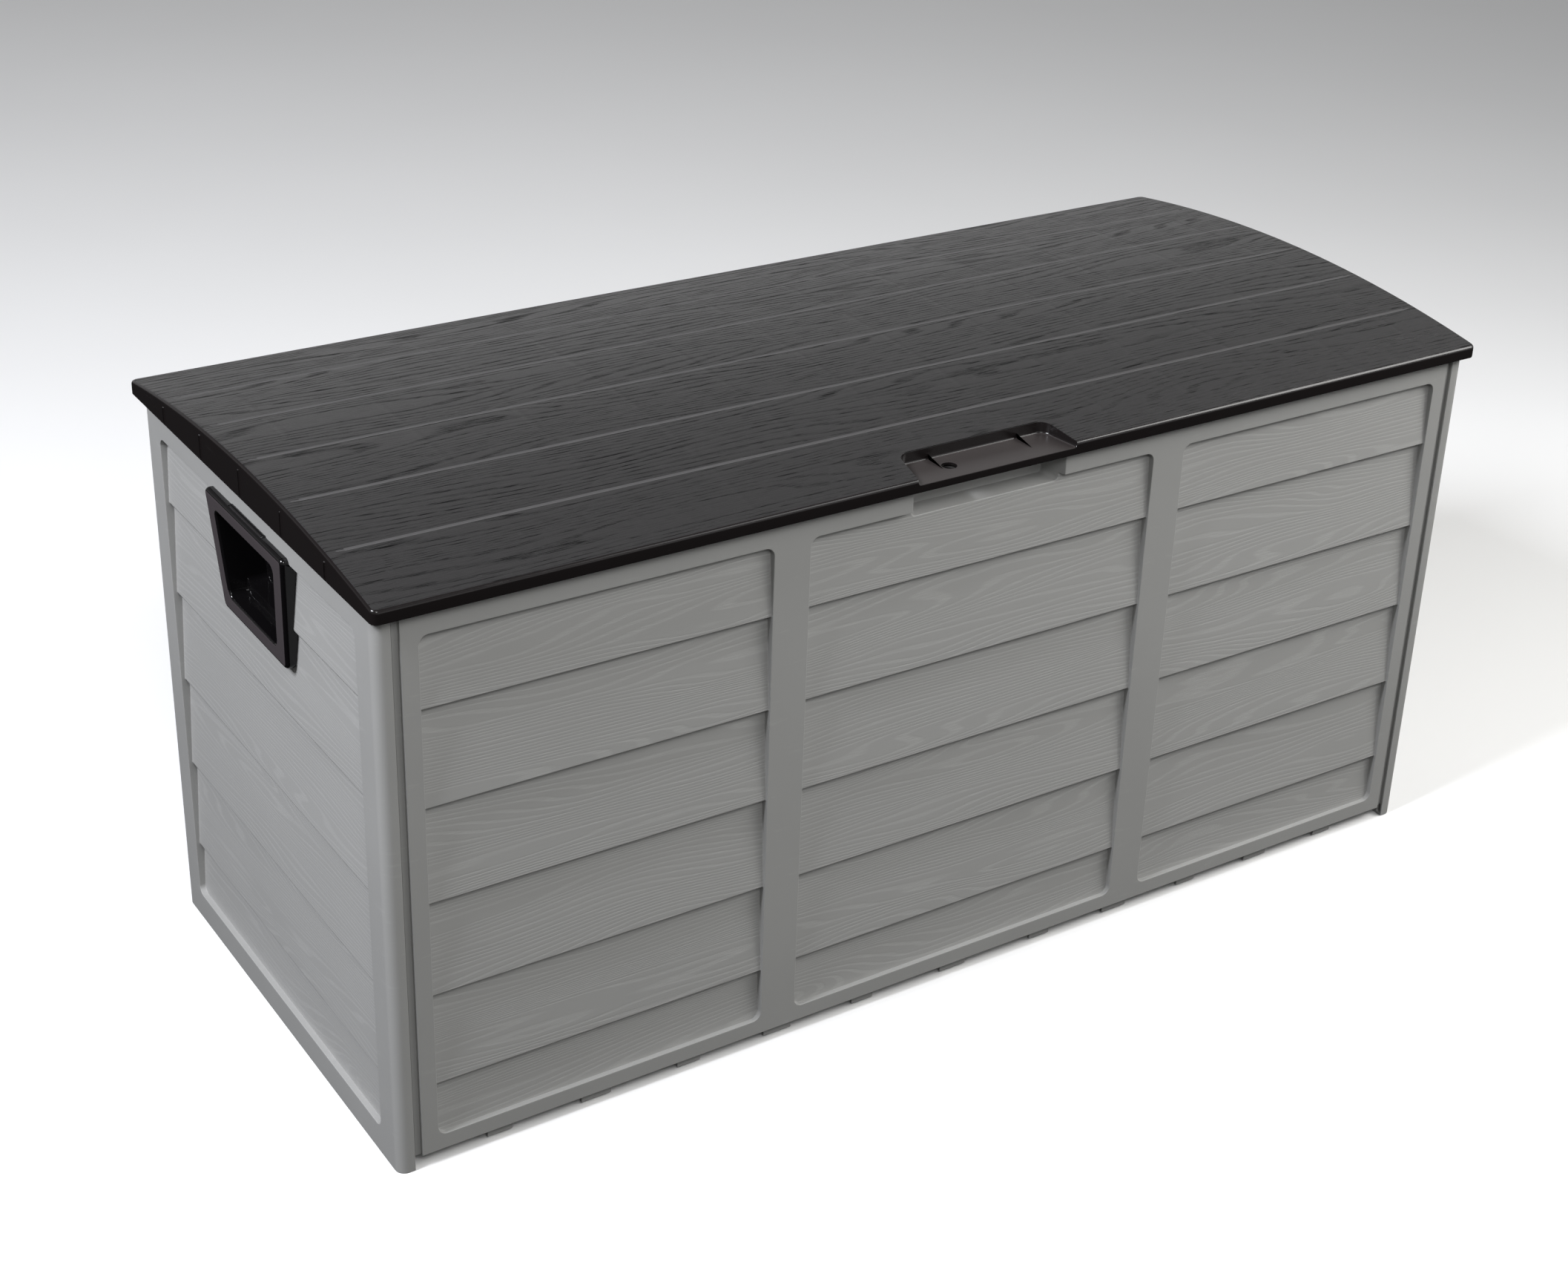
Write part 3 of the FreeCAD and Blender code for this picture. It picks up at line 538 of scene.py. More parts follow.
def handle():
    """Carry handle: a flange fitted over the boards and a cup with a shallower trough below."""
    front = -HANDLE_PROUD_TOP
    flange = block((-HANDLE_TOP_HALF, front, HANDLE_LOW), (HANDLE_TOP_HALF, BOARD_DEEP, HANDLE_TOP))
    shift(flange, (0, HANDLE_PROUD_TOP - HANDLE_PROUD_LOW, 0),
          lambda v: near(v.co.y, front) and near(v.co.z, HANDLE_LOW))
    for way in (-1, 1):
        shift(flange, (way * (HANDLE_LOW_HALF - HANDLE_TOP_HALF), 0, 0),
              lambda v: near(v.co.z, HANDLE_LOW) and v.co.x * way > 0)
    round_edges(flange, HANDLE_CORNER, CORNER_SEGMENTS, lambda e: runs_along(e, 1))
    round_edges(flange, HANDLE_ROUNDING, ROUNDING_SEGMENTS, on_handle_rim)
    fitted = turned_into_place(side_envelope(), 0, 0, -HANDLE_GAP)
    carve(flange, [fitted])
    strip = block((-STRIP_HALF, STRIP_FRONT, HANDLE_TOP - STRIP_SUNK),
                  (STRIP_HALF, STRIP_BACK, HANDLE_TOP + STRIP_RISE))
    carve(flange, [strip], "UNION")
    cup = opening_prism(CUP_WALL, 0, CUP_DEPTH + CUP_WALL, TROUGH_LEDGE)
    trough = opening_prism(CUP_WALL, 0, TROUGH_DEPTH + CUP_WALL)
    carve(flange, [cup, trough], "UNION")
    carve(flange, [opening_prism(0, 2 * front, CUP_DEPTH, TROUGH_LEDGE),
                   opening_prism(0, 2 * front, TROUGH_DEPTH)])
    return round_edges(flange, HANDLE_MOUTH, MOUTH_SEGMENTS, on_handle_mouth)


def on_handle_rim(edge):
    """True for the edges round the flange's face."""
    return all(v.co.y < 0 for v in edge.verts)


def on_handle_mouth(edge):
    """True for the edges where the flange's face meets the inside of the cup."""
    facing = sorted(face.normal.y for face in edge.link_faces)
    return facing[0] < -STRAIGHT and abs(facing[-1]) < UPRIGHT and all(v.co.y < 0 for v in edge.verts)


# Lid

def crown(radius, low, high):
    """A block between two corners and the long drum whose arc crowns it, as two objects."""
    solid = block(low, high)
    bpy.ops.object.select_all(action="DESELECT")
    bpy.ops.mesh.primitive_cylinder_add(vertices=CROWN_SIDES, radius=radius, depth=3 * LID_HALF_LENGTH,
                                        location=(0, 0, LID_HIGH.z - CROWN_RADIUS),
                                        rotation=(0, math.pi / 2, 0))
    bpy.ops.object.transform_apply(location=True, rotation=True, scale=False)
    return solid, bpy.context.object


def crown_height(y):
    """Height of the lid's top at one place from front to back."""
    return LID_HIGH.z - CROWN_RADIUS + math.sqrt(CROWN_RADIUS ** 2 - y ** 2)


def plank_groove(y):
    """V between two planks: a four-sided bar drawn out to a point at both ends."""
    half = LID_HALF_LENGTH - GROOVE_BORDER - GROOVE_FADE
    bpy.ops.object.select_all(action="DESELECT")
    bpy.ops.mesh.primitive_cylinder_add(vertices=4, radius=1, depth=2 * half,
                                        rotation=(0, math.pi / 2, 0))
    bar = bpy.context.object
    bpy.ops.object.transform_apply(location=False, rotation=True, scale=False)
    with editing(bar):
        for way in (-1, 1):
            pick(bar, "FACE", lambda f: f.normal.x * way > FACING)
            bpy.ops.mesh.extrude_region_move(TRANSFORM_OT_translate={"value": (way * GROOVE_FADE, 0, 0)})
            bpy.ops.transform.resize(value=(1, GROOVE_POINT, GROOVE_POINT))
    bar.scale = (1, GROOVE_HALF, GROOVE_DEPTH)
    bar.location = (0, y, crown_height(y))
    bar.rotation_euler.x = -math.asin(y / CROWN_RADIUS)
    only(bar)
    bpy.ops.object.transform_apply(location=True, rotation=True, scale=True)
    return bar


def tray_space(grow=0.0):
    """Finger tray: open at the front, its ends leaning in, rounded at the back and the floor."""
    back = -LID_HALF_DEPTH + TRAY_DEPTH + grow
    low = LID_EDGE - TRAY_STEP - grow
    half = TRAY_HALF + grow
    space = block((-half, -LID_HALF_DEPTH - OPEN, low), (half, back, LID_HIGH.z + OPEN))
    for way in (-1, 1):
        shift(space, (-way * TRAY_TAPER, 0, 0), lambda v: near(v.co.y, back) and v.co.x * way > 0)
    round_edges(space, TRAY_CORNER, TRAY_CORNER_SEGMENTS,
                lambda e: runs_along(e, 2) and near(middle(e).y, back))
    return round_edges(space, TRAY_FILLET, TRAY_SEGMENTS,
                       lambda e: near(middle(e).z, low) and middle(e).y > -LID_HALF_DEPTH + FACE_SLACK)


def lid_ribs():
    """Ribs under the lid: one below each plank line and rows across."""
    end = LID_HALF_LENGTH
    ribs = [block((-end, y - RIB / 2, LID_RIB_LOW), (end, y + RIB / 2, LID_HIGH.z)) for y in PLANK_LINES]
    for index in range(LID_RIBS):
        x = LID_RIB_PITCH * (index + 0.5)
        ribs += both_sides(block((x - RIB / 2, -LID_HALF_DEPTH, LID_RIB_LOW),
                                 (x + RIB / 2, BODY_BACK, LID_HIGH.z)))
    return ribs


def hinge_seat(side):
    """Block that a hinge leaf is screwed to, and the room of the leaf below it."""
    low, high = span("lid_hinge_leaf_" + side)
    seat = block((low.x, low.y, high.z), (high.x, BODY_BACK, LID_HIGH.z))
    room = block((low.x - LEAF_CLEAR, low.y - LEAF_CLEAR, RIM),
                 (high.x + LEAF_CLEAR, BODY_BACK + LEAF_CLEAR, high.z + LEAF_SEATING))
    return seat, room


def skirt_lines():
    """Thin raised lines down both end skirts, one below each plank line."""
    lines = []
    for y in PLANK_LINES:
        top = crown_height(y) - 2 * LID_ROUNDING
        lines += both_sides(block((LID_HALF_LENGTH - WALL / 2, y - SKIRT_LINE / 2, LID_LOW.z + WALL),
                                  (LID_HALF_LENGTH + SKIRT_LINE_RISE, y + SKIRT_LINE / 2, top)))
    return lines


def on_lid_rim(edge):
    """True for the edges where the crowned top meets the skirts."""
    rises = sorted(face.normal.z for face in edge.link_faces)
    return abs(rises[0]) < UPRIGHT and rises[-1] > LOOKING_UP


def on_tray_lip(edge):
    """True for the edge where the tray's floor meets the front skirt."""
    place = middle(edge)
    on_corner = near(place.z, LID_EDGE - TRAY_STEP) and near(place.y, -LID_HALF_DEPTH)
    return on_corner and runs_along(edge, 0)


def lid():
    """Crowned lid: a rounded shell with planks, skirts, a finger tray, ribs and hinge seats."""
    shell, arc = crown(CROWN_RADIUS, LID_LOW, LID_HIGH + Vector((0, 0, OPEN)))
    round_edges(shell, LID_CORNER, CORNER_SEGMENTS, lambda e: runs_along(e, 2))
    carve(shell, [arc], "INTERSECT")
    round_edges(shell, LID_ROUNDING, LID_SEGMENTS, on_lid_rim)
    wall = Vector((WALL, WALL, 0))
    hollow, arc = crown(CROWN_RADIUS - WALL, LID_LOW + wall - Vector((0, 0, OPEN)), LID_HIGH - wall)
    carve(hollow, [arc], "INTERSECT")
    seats = [hinge_seat(side) for side in ("left", "centre", "right")]
    carve(hollow, lid_ribs() + [seat for seat, room in seats] + [tray_space(WALL)])
    grooves = [plank_groove(y) for y in PLANK_LINES]
    carve(shell, [hollow] + [room for seat, room in seats] + grooves + [tray_space()])
    round_edges(shell, TRAY_LIP, TRAY_SEGMENTS, on_tray_lip)
    carve(shell, [padlock_bore(0)])
    return carve(shell, skirt_lines(), "UNION")


# Materials

POLYPROPYLENE_IOR = 1.49

# Sizes of their patterns, in millimetres
SKIN_GRAIN = 1.1           # the real skin's grain is about 0.3 mm, drawn coarser to show
TONE_DRIFT = 140.0         # slow change of tone in the melt
RUB_MARK = 9.0
SWELL = 420.0, 46.0        # the swells that bend the growth lines, along and across a board
PORE = 26.0, 1.0           # along and across a board, wider than real pores to show
CLOUD = 210.0, 60.0        # slow change of tone, along and across a board
BOARD_JUMP = 613.0         # each board's figure starts this far along from the last one's
SINK_HALF = 5.0            # half width of the mark that a rib leaves
ZINC_CLOUD = 4.0           # cloudy patches of the passivation
ZINC_SCRATCH = 0.5


def linear(colour):
    """sRGB hex to the linear colour that a shader takes."""
    parts = [int(colour[index:index + 2], 16) / 255 for index in (1, 3, 5)]
    lit = [part / 12.92 if part <= 0.04045 else ((part + 0.055) / 1.055) ** 2.4 for part in parts]
    return lit + [1.0]


def add(tree, kind, inputs=None, **settings):
    """Adds a node with its settings, and gives its inputs a value or a link."""
    made = tree.nodes.new("ShaderNode" + kind)
    for key, value in settings.items():
        setattr(made, key, value)
    for key, value in (inputs or {}).items():
        if isinstance(value, bpy.types.NodeSocket):
            tree.links.new(value, made.inputs[key])
        else:
            made.inputs[key].default_value = value
    return made


def new_material(name):
    material = bpy.data.materials.new(name)
    material.use_nodes = True
    material.node_tree.nodes.clear()
    return material, material.node_tree


def moulded(name, colour, mark, roughness, texture, tone=0.06, specular=0.5):
    """Smooth moulded polypropylene.

    The mould's spark-eroded skin gives a soft satin grain, the melt leaves slow changes of
    tone, and handling leaves faint rubbed marks that are a little lighter and rougher.
    """
    material, tree = new_material(name)
    place = add(tree, "TexCoord").outputs["Object"]
    skin = add(tree, "TexNoise", {"Vector": place, "Scale": 1 / (SKIN_GRAIN * MM), "Detail": 3.0,
                                  "Roughness": 0.6})
    flow = add(tree, "TexNoise", {"Vector": place, "Scale": 1 / (TONE_DRIFT * MM), "Detail": 3.0})
    stretched = add(tree, "Mapping", {"Vector": place, "Scale": (0.25, 0.25, 1.6),
                                      "Rotation": (0.3, 0.2, 0.5)})
    rub = add(tree, "TexNoise", {"Vector": stretched.outputs[0], "Scale": 1 / (RUB_MARK * MM),
                                 "Detail": 6.0, "Roughness": 0.7})
    rubbed = add(tree, "MapRange", {"Value": rub.outputs["Fac"], "From Min": 0.6, "From Max": 0.75})
    base, light = linear(colour), linear(mark)
    dark = [part * (1 - 2 * tone) for part in base[:3]] + [1.0]
    toned = add(tree, "Mix", {"Factor": flow.outputs["Fac"], "A": dark, "B": base}, data_type="RGBA")
    share = add(tree, "Math", {0: rubbed.outputs[0], 1: 0.25}, operation="MULTIPLY")
    worn = add(tree, "Mix", {"Factor": share.outputs[0], "A": toned.outputs["Result"], "B": light},
               data_type="RGBA")
    sheen = add(tree, "MapRange", {"Value": flow.outputs["Fac"], "To Min": roughness - 0.04,
                                   "To Max": roughness + 0.05})
    dull = add(tree, "Math", {0: rubbed.outputs[0], 1: 0.12, 2: sheen.outputs[0]},
               operation="MULTIPLY_ADD")
    relief = add(tree, "Bump", {"Height": skin.outputs["Fac"], "Distance": texture * MM, "Strength": 1.0})
    shader = add(tree, "BsdfPrincipled", {"Base Color": worn.outputs["Result"],
                                          "Roughness": dull.outputs[0],
                                          "IOR": POLYPROPYLENE_IOR, "Specular IOR Level": specular,
                                          "Normal": relief.outputs[0]})
    add(tree, "OutputMaterial", {"Surface": shader.outputs[0]})
    return material


def wood_grained(name, colour, line_colour, roughness, along, across, pitch, start, line_share, depth,
                 line_gap, pore_share, bend=90.0, sinks=0.0, ink_dulls=0.0):
    """Polypropylene moulded against an etched wood-grain plate.

    Growth lines along the board, bent into cathedral loops, are broken up by short pores,
    and each board starts at another place, so that no two are alike.  Bend is how far the
    swells push the lines, in millimetres.  Sinks is how deep the skin sinks where a rib
    crosses behind, as a share of the grain's depth.  Ink_dulls takes gloss off the lines.
    """
    material, tree = new_material(name)
    place = add(tree, "TexCoord").outputs["Object"]
    axes = add(tree, "SeparateXYZ", {0: place})
    run = add(tree, "Math", {0: axes.outputs[along], 1: 1 / MM}, operation="MULTIPLY").outputs[0]
    over = add(tree, "Math", {0: axes.outputs[across], 1: 1 / MM}, operation="MULTIPLY").outputs[0]
    from_start = add(tree, "Math", {0: over, 1: start}, operation="SUBTRACT").outputs[0]
    steps = add(tree, "Math", {0: from_start, 1: pitch}, operation="DIVIDE").outputs[0]
    board = add(tree, "Math", {0: steps}, operation="FLOOR").outputs[0]
    moved = add(tree, "Math", {0: board, 1: BOARD_JUMP, 2: run}, operation="MULTIPLY_ADD").outputs[0]
    # growth lines run along the board, bent by long swells
    swell_u = add(tree, "Math", {0: moved, 1: 1 / SWELL[0]}, operation="MULTIPLY").outputs[0]
    swell_v = add(tree, "Math", {0: over, 1: 1 / SWELL[1]}, operation="MULTIPLY").outputs[0]
    swell_w = add(tree, "Math", {0: board, 1: 3.7}, operation="MULTIPLY").outputs[0]
    swell_place = add(tree, "CombineXYZ", {0: swell_u, 1: swell_v, 2: swell_w}).outputs[0]
    swell = add(tree, "TexNoise", {"Vector": swell_place, "Scale": 1.0, "Detail": 1.5, "Roughness": 0.4,
                                   "Distortion": 0.2}).outputs["Fac"]
    bent = add(tree, "Math", {0: swell, 1: bend, 2: over}, operation="MULTIPLY_ADD").outputs[0]
    phase = add(tree, "Math", {0: bent, 1: 2 * math.pi / line_gap}, operation="MULTIPLY").outputs[0]
    wave = add(tree, "Math", {0: phase}, operation="SINE").outputs[0]
    line = add(tree, "MapRange", {"Value": wave, "From Min": 0.1, "From Max": 0.95},
               interpolation_type="SMOOTHSTEP").outputs[0]
    # pores are short dashes along the board
    pore_u = add(tree, "Math", {0: moved, 1: 1 / PORE[0]}, operation="MULTIPLY").outputs[0]
    pore_v = add(tree, "Math", {0: over, 1: 1 / PORE[1]}, operation="MULTIPLY").outputs[0]
    pore_place = add(tree, "CombineXYZ", {0: pore_u, 1: pore_v, 2: swell_w}).outputs[0]
    fibre = add(tree, "TexNoise", {"Vector": pore_place, "Scale": 1.0, "Detail": 3.0,
                                   "Roughness": 0.6}).outputs["Fac"]
    pore = add(tree, "MapRange", {"Value": fibre, "From Min": 0.44, "From Max": 0.66},
               interpolation_type="SMOOTHSTEP").outputs[0]
    gaps = add(tree, "MapRange", {"Value": pore, "To Min": 1.0 - pore_share, "To Max": 1.0}).outputs[0]
    broken = add(tree, "Math", {0: line, 1: gaps}, operation="MULTIPLY").outputs[0]
    etched = add(tree, "Math", {0: pore, 1: 0.3 * pore_share, 2: broken},
                 operation="MULTIPLY_ADD").outputs[0]
    # slow change of tone along each board
    cloud_u = add(tree, "Math", {0: moved, 1: 1 / CLOUD[0]}, operation="MULTIPLY").outputs[0]
    cloud_v = add(tree, "Math", {0: over, 1: 1 / CLOUD[1]}, operation="MULTIPLY").outputs[0]
    cloud_place = add(tree, "CombineXYZ", {0: cloud_u, 1: cloud_v}).outputs[0]
    cloud = add(tree, "TexNoise", {"Vector": cloud_place, "Scale": 1.0, "Detail": 4.0}).outputs["Fac"]
    base = linear(colour)
    dim = [part * 0.93 for part in base[:3]] + [1.0]
    toned = add(tree, "Mix", {"Factor": cloud, "A": dim, "B": base}, data_type="RGBA").outputs["Result"]
    ink = add(tree, "Math", {0: etched, 1: line_share}, operation="MULTIPLY", use_clamp=True).outputs[0]
    coloured = add(tree, "Mix", {"Factor": ink, "A": toned, "B": linear(line_colour)},
                   data_type="RGBA").outputs["Result"]
    sheen = add(tree, "MapRange", {"Value": cloud, "To Min": roughness - 0.05,
                                   "To Max": roughness + 0.05}).outputs[0]
    dull = add(tree, "Math", {0: etched, 1: 0.15, 2: sheen}, operation="MULTIPLY_ADD").outputs[0]
    height = add(tree, "Math", {0: etched, 1: -1.0}, operation="MULTIPLY").outputs[0]
    if sinks:
        shifted = add(tree, "Math", {0: run, 1: LID_RIB_PITCH / 2}, operation="ADD").outputs[0]
        to_rib = add(tree, "Math", {0: shifted, 1: LID_RIB_PITCH / 2}, operation="PINGPONG").outputs[0]
        sunk = add(tree, "MapRange", {"Value": to_rib, "From Min": 0.0, "From Max": SINK_HALF,
                                      "To Min": -sinks, "To Max": 0.0},
                   interpolation_type="SMOOTHSTEP").outputs[0]
        height = add(tree, "Math", {0: height, 1: sunk}, operation="ADD").outputs[0]
    relief = add(tree, "Bump", {"Height": height, "Distance": depth * MM, "Strength": 1.0})
    gleam = add(tree, "MapRange", {"Value": ink, "To Min": 0.5, "To Max": 0.5 - ink_dulls}).outputs[0]
    shader = add(tree, "BsdfPrincipled", {"Base Color": coloured, "Roughness": dull,
                                          "IOR": POLYPROPYLENE_IOR, "Specular IOR Level": gleam,
                                          "Normal": relief.outputs[0]})
    add(tree, "OutputMaterial", {"Surface": shader.outputs[0]})
    return material


def zinc_plated():
    """Zinc-plated steel: cool, bright and brushed by tumbling, with cloudy passivation."""
    material, tree = new_material("zinc_plated_steel")
    place = add(tree, "TexCoord").outputs["Object"]
    cloud = add(tree, "TexNoise", {"Vector": place, "Scale": 1 / (ZINC_CLOUD * MM),
                                   "Detail": 4.0}).outputs["Fac"]
    colour = add(tree, "Mix", {"Factor": cloud, "A": linear("#A9ABAC"), "B": linear("#D3D5D6")},
                 data_type="RGBA").outputs["Result"]
    dull = add(tree, "MapRange", {"Value": cloud, "To Min": 0.28, "To Max": 0.46}).outputs[0]
    scratch = add(tree, "TexNoise", {"Vector": place, "Scale": 1 / (ZINC_SCRATCH * MM),
                                     "Detail": 2.0}).outputs["Fac"]
    relief = add(tree, "Bump", {"Height": scratch, "Distance": 0.02 * MM, "Strength": 1.0})
    shader = add(tree, "BsdfPrincipled", {"Base Color": colour, "Metallic": 1.0, "Roughness": dull,
                                          "Normal": relief.outputs[0]})
    add(tree, "OutputMaterial", {"Surface": shader.outputs[0]})
    return material


GREY = "#9A9A98"
GREY_LINE = "#A6A6A4"
# satin frames and posts, slightly paler where they are rubbed
GREY_FRAME = moulded("moulded_polypropylene_grey", "#9B9B99", "#B2B2B0", roughness=0.40, texture=0.03)
# an etched grain that reads as fine pale lines on grey
FRONT_BOARDS = wood_grained("wood_grained_polypropylene_front", GREY, GREY_LINE, roughness=0.46,
                            along=0, across=2, pitch=BOARD_PITCH, start=STEPS[0], line_share=0.5,
                            depth=0.10, line_gap=4.2, pore_share=0.4)
# the same grain, etched more shallowly and fainter
SIDE_BOARDS = wood_grained("wood_grained_polypropylene_side", GREY, GREY_LINE, roughness=0.46,
                           along=1, across=2, pitch=BOARD_PITCH, start=STEPS[0], line_share=0.25,
                           depth=0.05, line_gap=4.2, pore_share=0.4)
# soft charcoal planks with black growth lines and pores
LID_PLANKS = wood_grained("wood_grained_polypropylene_lid", "#272626", "#0A0A0A", roughness=0.42,
                          along=0, across=1, pitch=PLANK_PITCH, start=0.0, line_share=1.0,
                          depth=0.30, line_gap=6.2, pore_share=0.8, bend=75.0, sinks=0.4,
                          ink_dulls=0.42)
# polished skirts and lips that catch thin highlights
LID_SKIN = moulded("polished_polypropylene_anthracite", "#171414", "#262323", roughness=0.2,
                   texture=0.01, tone=0.06, specular=0.35)
# smooth grooves, coloured paler than the planks beside them as a painted highlight for the light they
# catch
GROOVES_PAINTED_HIGHLIGHT = moulded("smooth_polypropylene_anthracite_painted_highlight", "#484747", "#535252", roughness=0.34,
                      texture=0.01)
# a satin floor that holds a soft highlight
TRAY_FLOOR = moulded("satin_polypropylene_anthracite", "#332F2E", "#454140", roughness=0.34,
                     texture=0.03)
# near-black polish with sharp glints on the rounded corners
HANDLE_SKIN = moulded("polished_polypropylene_black", "#0B0A0B", "#191818", roughness=0.11,
                      texture=0.003, tone=0.06, specular=0.4)
# the handle's spark-eroded face: its dull satin texture is real, and its warm charcoal colour, paler than
# the black plastic, is a painted sheen
HANDLE_FACE_PAINTED_SHEEN = moulded("spark_eroded_polypropylene_painted_sheen", "#413C3E", "#4C4749", roughness=0.42,
                      texture=0.05)
# painted shade: the padlock hole's wall is coloured near-black, to stand in for the shade inside the hole
PAINTED_SHADE_BORE = moulded("padlock_bore_painted_shade", "#1C1A19", "#2E2B2A", roughness=0.5,
                      texture=0.03)
# duller and darker than the panels
FLOOR_SKIN = moulded("moulded_polypropylene_floor", "#8E8E8C", "#A6A6A4", roughness=0.5,
                     texture=0.04)
# dull black hinge leaves
LEAF_SKIN = moulded("moulded_polypropylene_hinge", "#1E1D1D", "#2C2B2B", roughness=0.38,
                    texture=0.02)
# bright screws and pins
ZINC = zinc_plated()


# Pieces

def make_long_panel(name, angle, y, pocket):
    panel = soften(long_panel(pocket))
    boards = board_rule(long_bays())

    def choose(centre, normal):
        # the padlock bore's wall gets the near-black material, painted shade for the dark inside the hole
        off_bore = math.hypot(centre.x - PADLOCK_X, centre.y - PADLOCK_Y + BODY_FRONT)
        in_bore = pocket and off_bore < PADLOCK_RADIUS + FACE_SLACK and centre.z > RIM - 2 * WALL
        return 2 if in_bore else boards(centre, normal)

    coat(panel, [GREY_FRAME, FRONT_BOARDS, PAINTED_SHADE_BORE], choose)
    turned_into_place(panel, angle, 0, y)
    finished(panel, "box", name)


def make_side_pieces(side, angle, x):
    panel = soften(side_panel())
    bay = SIDE_HALF - SIDE_STILE
    coat(panel, [GREY_FRAME, SIDE_BOARDS], board_rule([(-bay, bay)]))
    turned_into_place(panel, angle, x, BODY_MIDDLE)
    finished(panel, "box", side + "_side_panel")
    grip = soften(handle(), HANDLE_EDGE)
    # the flat face gets the paler charcoal material, partly a painted sheen on the same black plastic
    coat(grip, [HANDLE_SKIN, HANDLE_FACE_PAINTED_SHEEN],
         lambda centre, normal: int(normal.y < -HANDLE_FACING and centre.y < 0))
    turned_into_place(grip, angle, x, BODY_MIDDLE)
    finished(grip, "box", side + "_handle")


def make_lid():
    between_ribs = [(0, LID_RIB_PITCH * index) for index in range(1 - LID_RIBS, LID_RIBS)]
    between_lines = [(1, y + PLANK_PITCH / 2) for y in PLANK_LINES[:-1]]
    top = soften(lid(), splits=between_ribs + between_lines)
    tray_back = -LID_HALF_DEPTH + TRAY_DEPTH
    tray_floor = LID_EDGE - TRAY_STEP

    def choose(centre, normal):
        if normal.z < LOOKING_UP or centre.z < tray_floor - FACE_SLACK:
            return 0
        if abs(centre.x) < TRAY_HALF and centre.y < tray_back and centre.z < tray_floor + FACE_SLACK:
            return 3
        # faces sunk below the crown near a plank line are the grooves; their paler material is a painted
        # highlight
        if centre.z < crown_height(centre.y) - GROOVE_DEPTH / 4:
            return 2 if min(abs(centre.y - line) for line in PLANK_LINES) < GROOVE_HALF else 0
        return 1

    coat(top, [LID_SKIN, LID_PLANKS, GROOVES_PAINTED_HIGHLIGHT, TRAY_FLOOR], choose)
    finished(top, "lid", "lid")


def coat_cad_nodes():
    """The floor, hinge leaves, pins and screws keep their CAD shape and get real finishes."""
    for name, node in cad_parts.items():
        if "screws" in name or "pin" in name:
            material = ZINC
        elif "leaf" in name:
            material = LEAF_SKIN
        elif "floor" in name:
            material = FLOOR_SKIN
        else:
            continue
        for slot in node.material_slots:
            slot.material = material


# Stage

FLOOR_ACROSS = 40.0        # metres
CAMERA_PLACE = -1.2000, -1.7613, 1.3684
CAMERA_TURN = 62.81, -2.59, -34.18
CAMERA_LENS = 58.37
CAMERA_SENSOR = 36.0
CAMERA_SHIFT = -0.0576, -0.0240
WHITE = 1.0, 1.0, 1.0


def stage_floor():
    """Plain pale floor, far wider than the box."""
    bpy.ops.object.select_all(action="DESELECT")
    bpy.ops.mesh.primitive_plane_add(size=FLOOR_ACROSS, location=(0, 0, 0))
    floor = bpy.context.object
    floor.name = "studio_floor"
    material, tree = new_material("studio_floor")
    place = add(tree, "TexCoord").outputs["Object"]
    cloud = add(tree, "TexNoise", {"Vector": place, "Scale": 2.0}).outputs["Fac"]
    colour = add(tree, "Mix", {"Factor": cloud, "A": linear("#F1F1F0"), "B": linear("#F5F5F4")},
                 data_type="RGBA").outputs["Result"]
    shader = add(tree, "BsdfPrincipled", {"Base Color": colour, "Roughness": 0.8})
    add(tree, "OutputMaterial", {"Surface": shader.outputs[0]})
    floor.data.materials.append(material)
    floor.visible_glossy = False
    floor.visible_diffuse = False


def softbox(name, way, distance, size, power, colour):
    """A soft square light that faces the middle of the box from one direction."""
    light = bpy.data.lights.new(name, "AREA")
    light.size = size
    light.energy = power
    light.color = colour
    lamp = bpy.data.objects.new(name, light)
    bpy.context.scene.collection.objects.link(lamp)
    middle_of_box = Vector((0, 0, (cad_box[0].z + cad_box[1].z) / 2))
    lamp.location = middle_of_box + Vector(way).normalized() * distance
    lamp.rotation_euler = (middle_of_box - lamp.location).to_track_quat("-Z", "Y").to_euler()


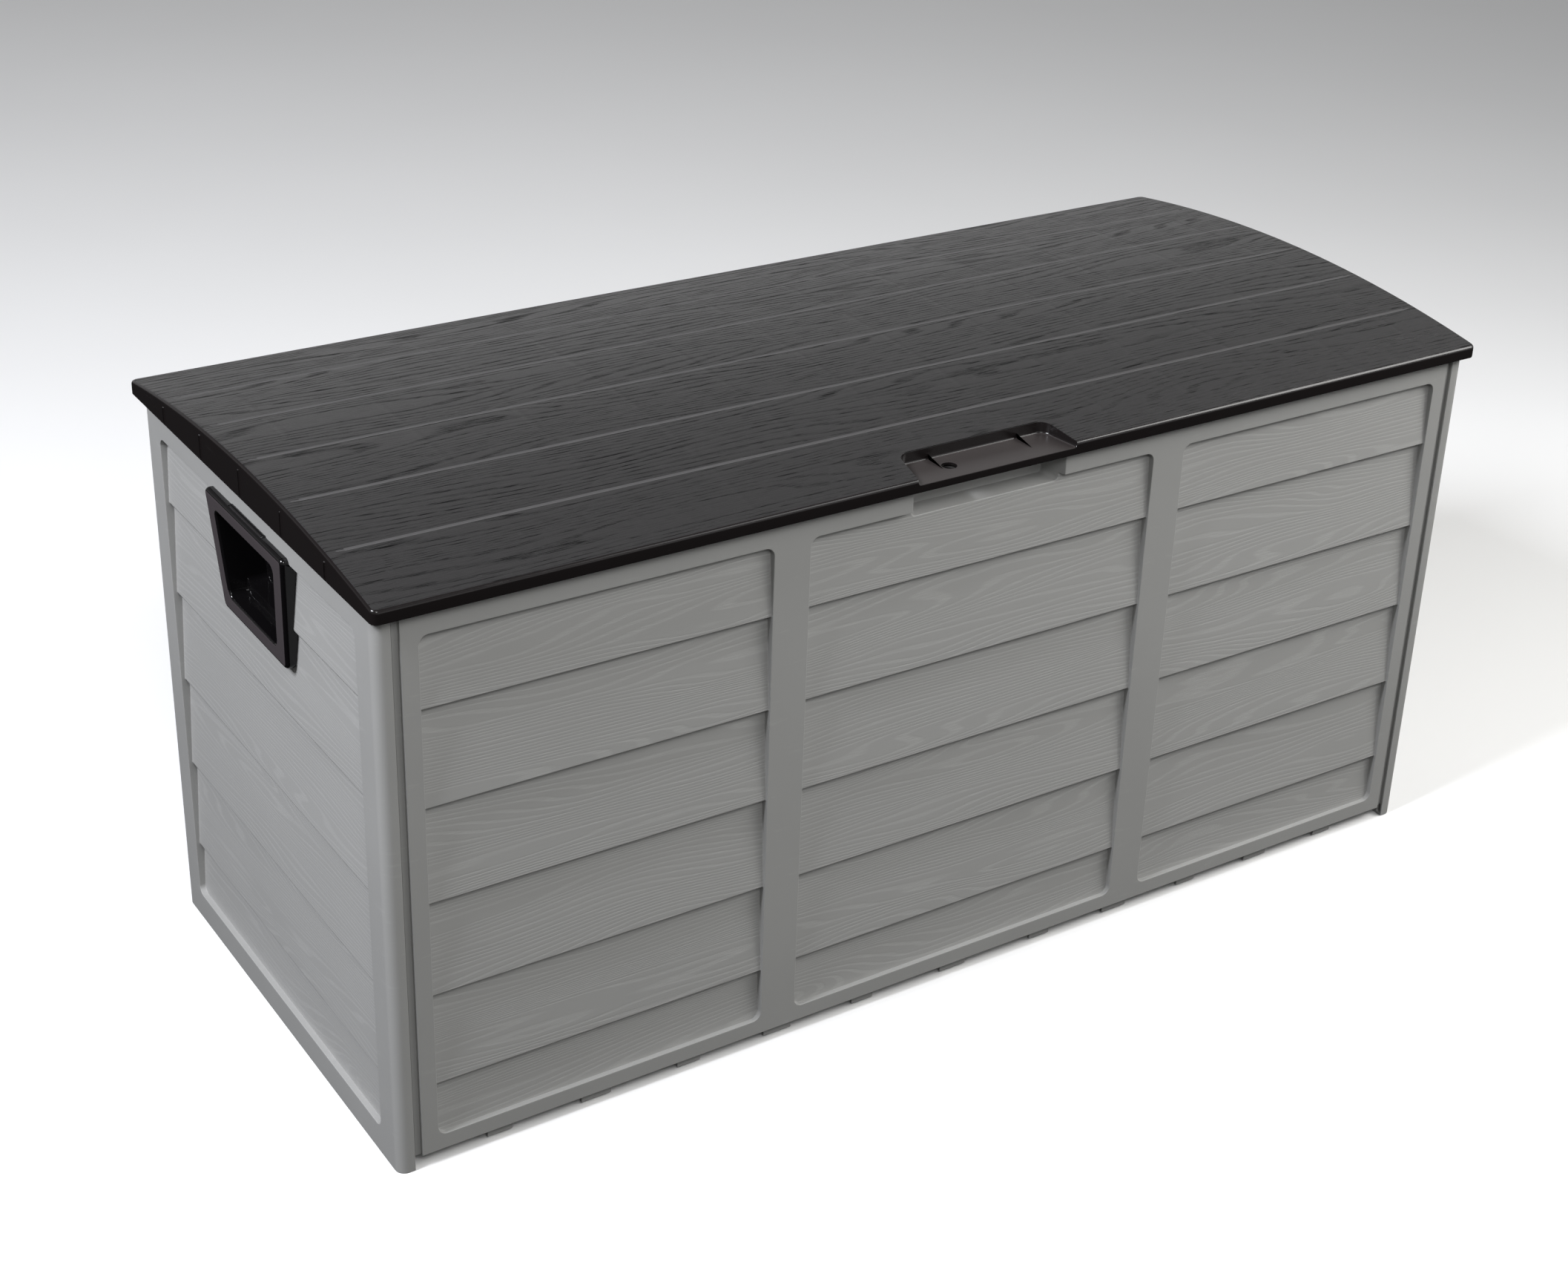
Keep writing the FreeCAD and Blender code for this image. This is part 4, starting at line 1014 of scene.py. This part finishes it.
def studio():
    """Pale room, brightest round the right-hand walls and dark below, with four softboxes."""
    world = bpy.data.worlds.new("studio")
    bpy.context.scene.world = world
    world.use_nodes = True
    tree = world.node_tree
    sky = tree.nodes["Background"]
    way = add(tree, "TexCoord").outputs["Generated"]
    towards = add(tree, "SeparateXYZ", {0: way}).outputs
    height = towards["Z"]
    side = add(tree, "MapRange", {"Value": towards["X"], "From Min": -0.5, "From Max": 0.3,
                                  "To Min": 0.3, "To Max": 1.0},
               interpolation_type="SMOOTHSTEP").outputs[0]
    wall = add(tree, "MapRange", {"Value": height, "From Min": -0.06, "From Max": 0.02,
                                  "To Min": 0.03, "To Max": 1.0},
               interpolation_type="SMOOTHSTEP").outputs[0]
    ceiling = add(tree, "MapRange", {"Value": height, "From Min": 0.0, "From Max": 0.5, "To Min": 1.3,
                                     "To Max": 0.22}).outputs[0]
    even = add(tree, "Math", {0: wall, 1: ceiling}, operation="MULTIPLY").outputs[0]
    glow = add(tree, "Math", {0: even, 1: side}, operation="MULTIPLY").outputs[0]
    sky.inputs["Color"].default_value = (*WHITE, 1.0)
    tree.links.new(glow, sky.inputs["Strength"])
    softbox("key_softbox", (-0.72, -0.06, 0.69), 3.6, 0.9, 170, (0.93, 0.945, 1.0))
    softbox("front_softbox", (-0.30, -0.70, 0.64), 3.6, 0.9, 32, WHITE)
    softbox("right_softbox", (0.70, -0.44, 0.56), 2.2, 0.9, 27, (1.0, 0.99, 0.97))
    softbox("lip_softbox", (0.42, -0.64, 0.65), 2.5, 0.8, 8, WHITE)
    stage_floor()


def camera():
    view = bpy.data.cameras.new("camera")
    view.sensor_width = CAMERA_SENSOR
    view.lens = CAMERA_LENS
    view.shift_x, view.shift_y = CAMERA_SHIFT
    holder = bpy.data.objects.new("camera", view)
    bpy.context.scene.collection.objects.link(holder)
    holder.location = CAMERA_PLACE
    holder.rotation_euler = [math.radians(angle) for angle in CAMERA_TURN]
    bpy.context.scene.camera = holder


camera()
studio()
bpy.context.scene.view_settings.view_transform = "Standard"
make_long_panel("front_panel", 0, BODY_FRONT, True)
make_long_panel("back_panel", 180, BODY_BACK, False)
make_side_pieces("left", -90, -BODY_END)
make_side_pieces("right", 90, BODY_END)
make_lid()
coat_cad_nodes()
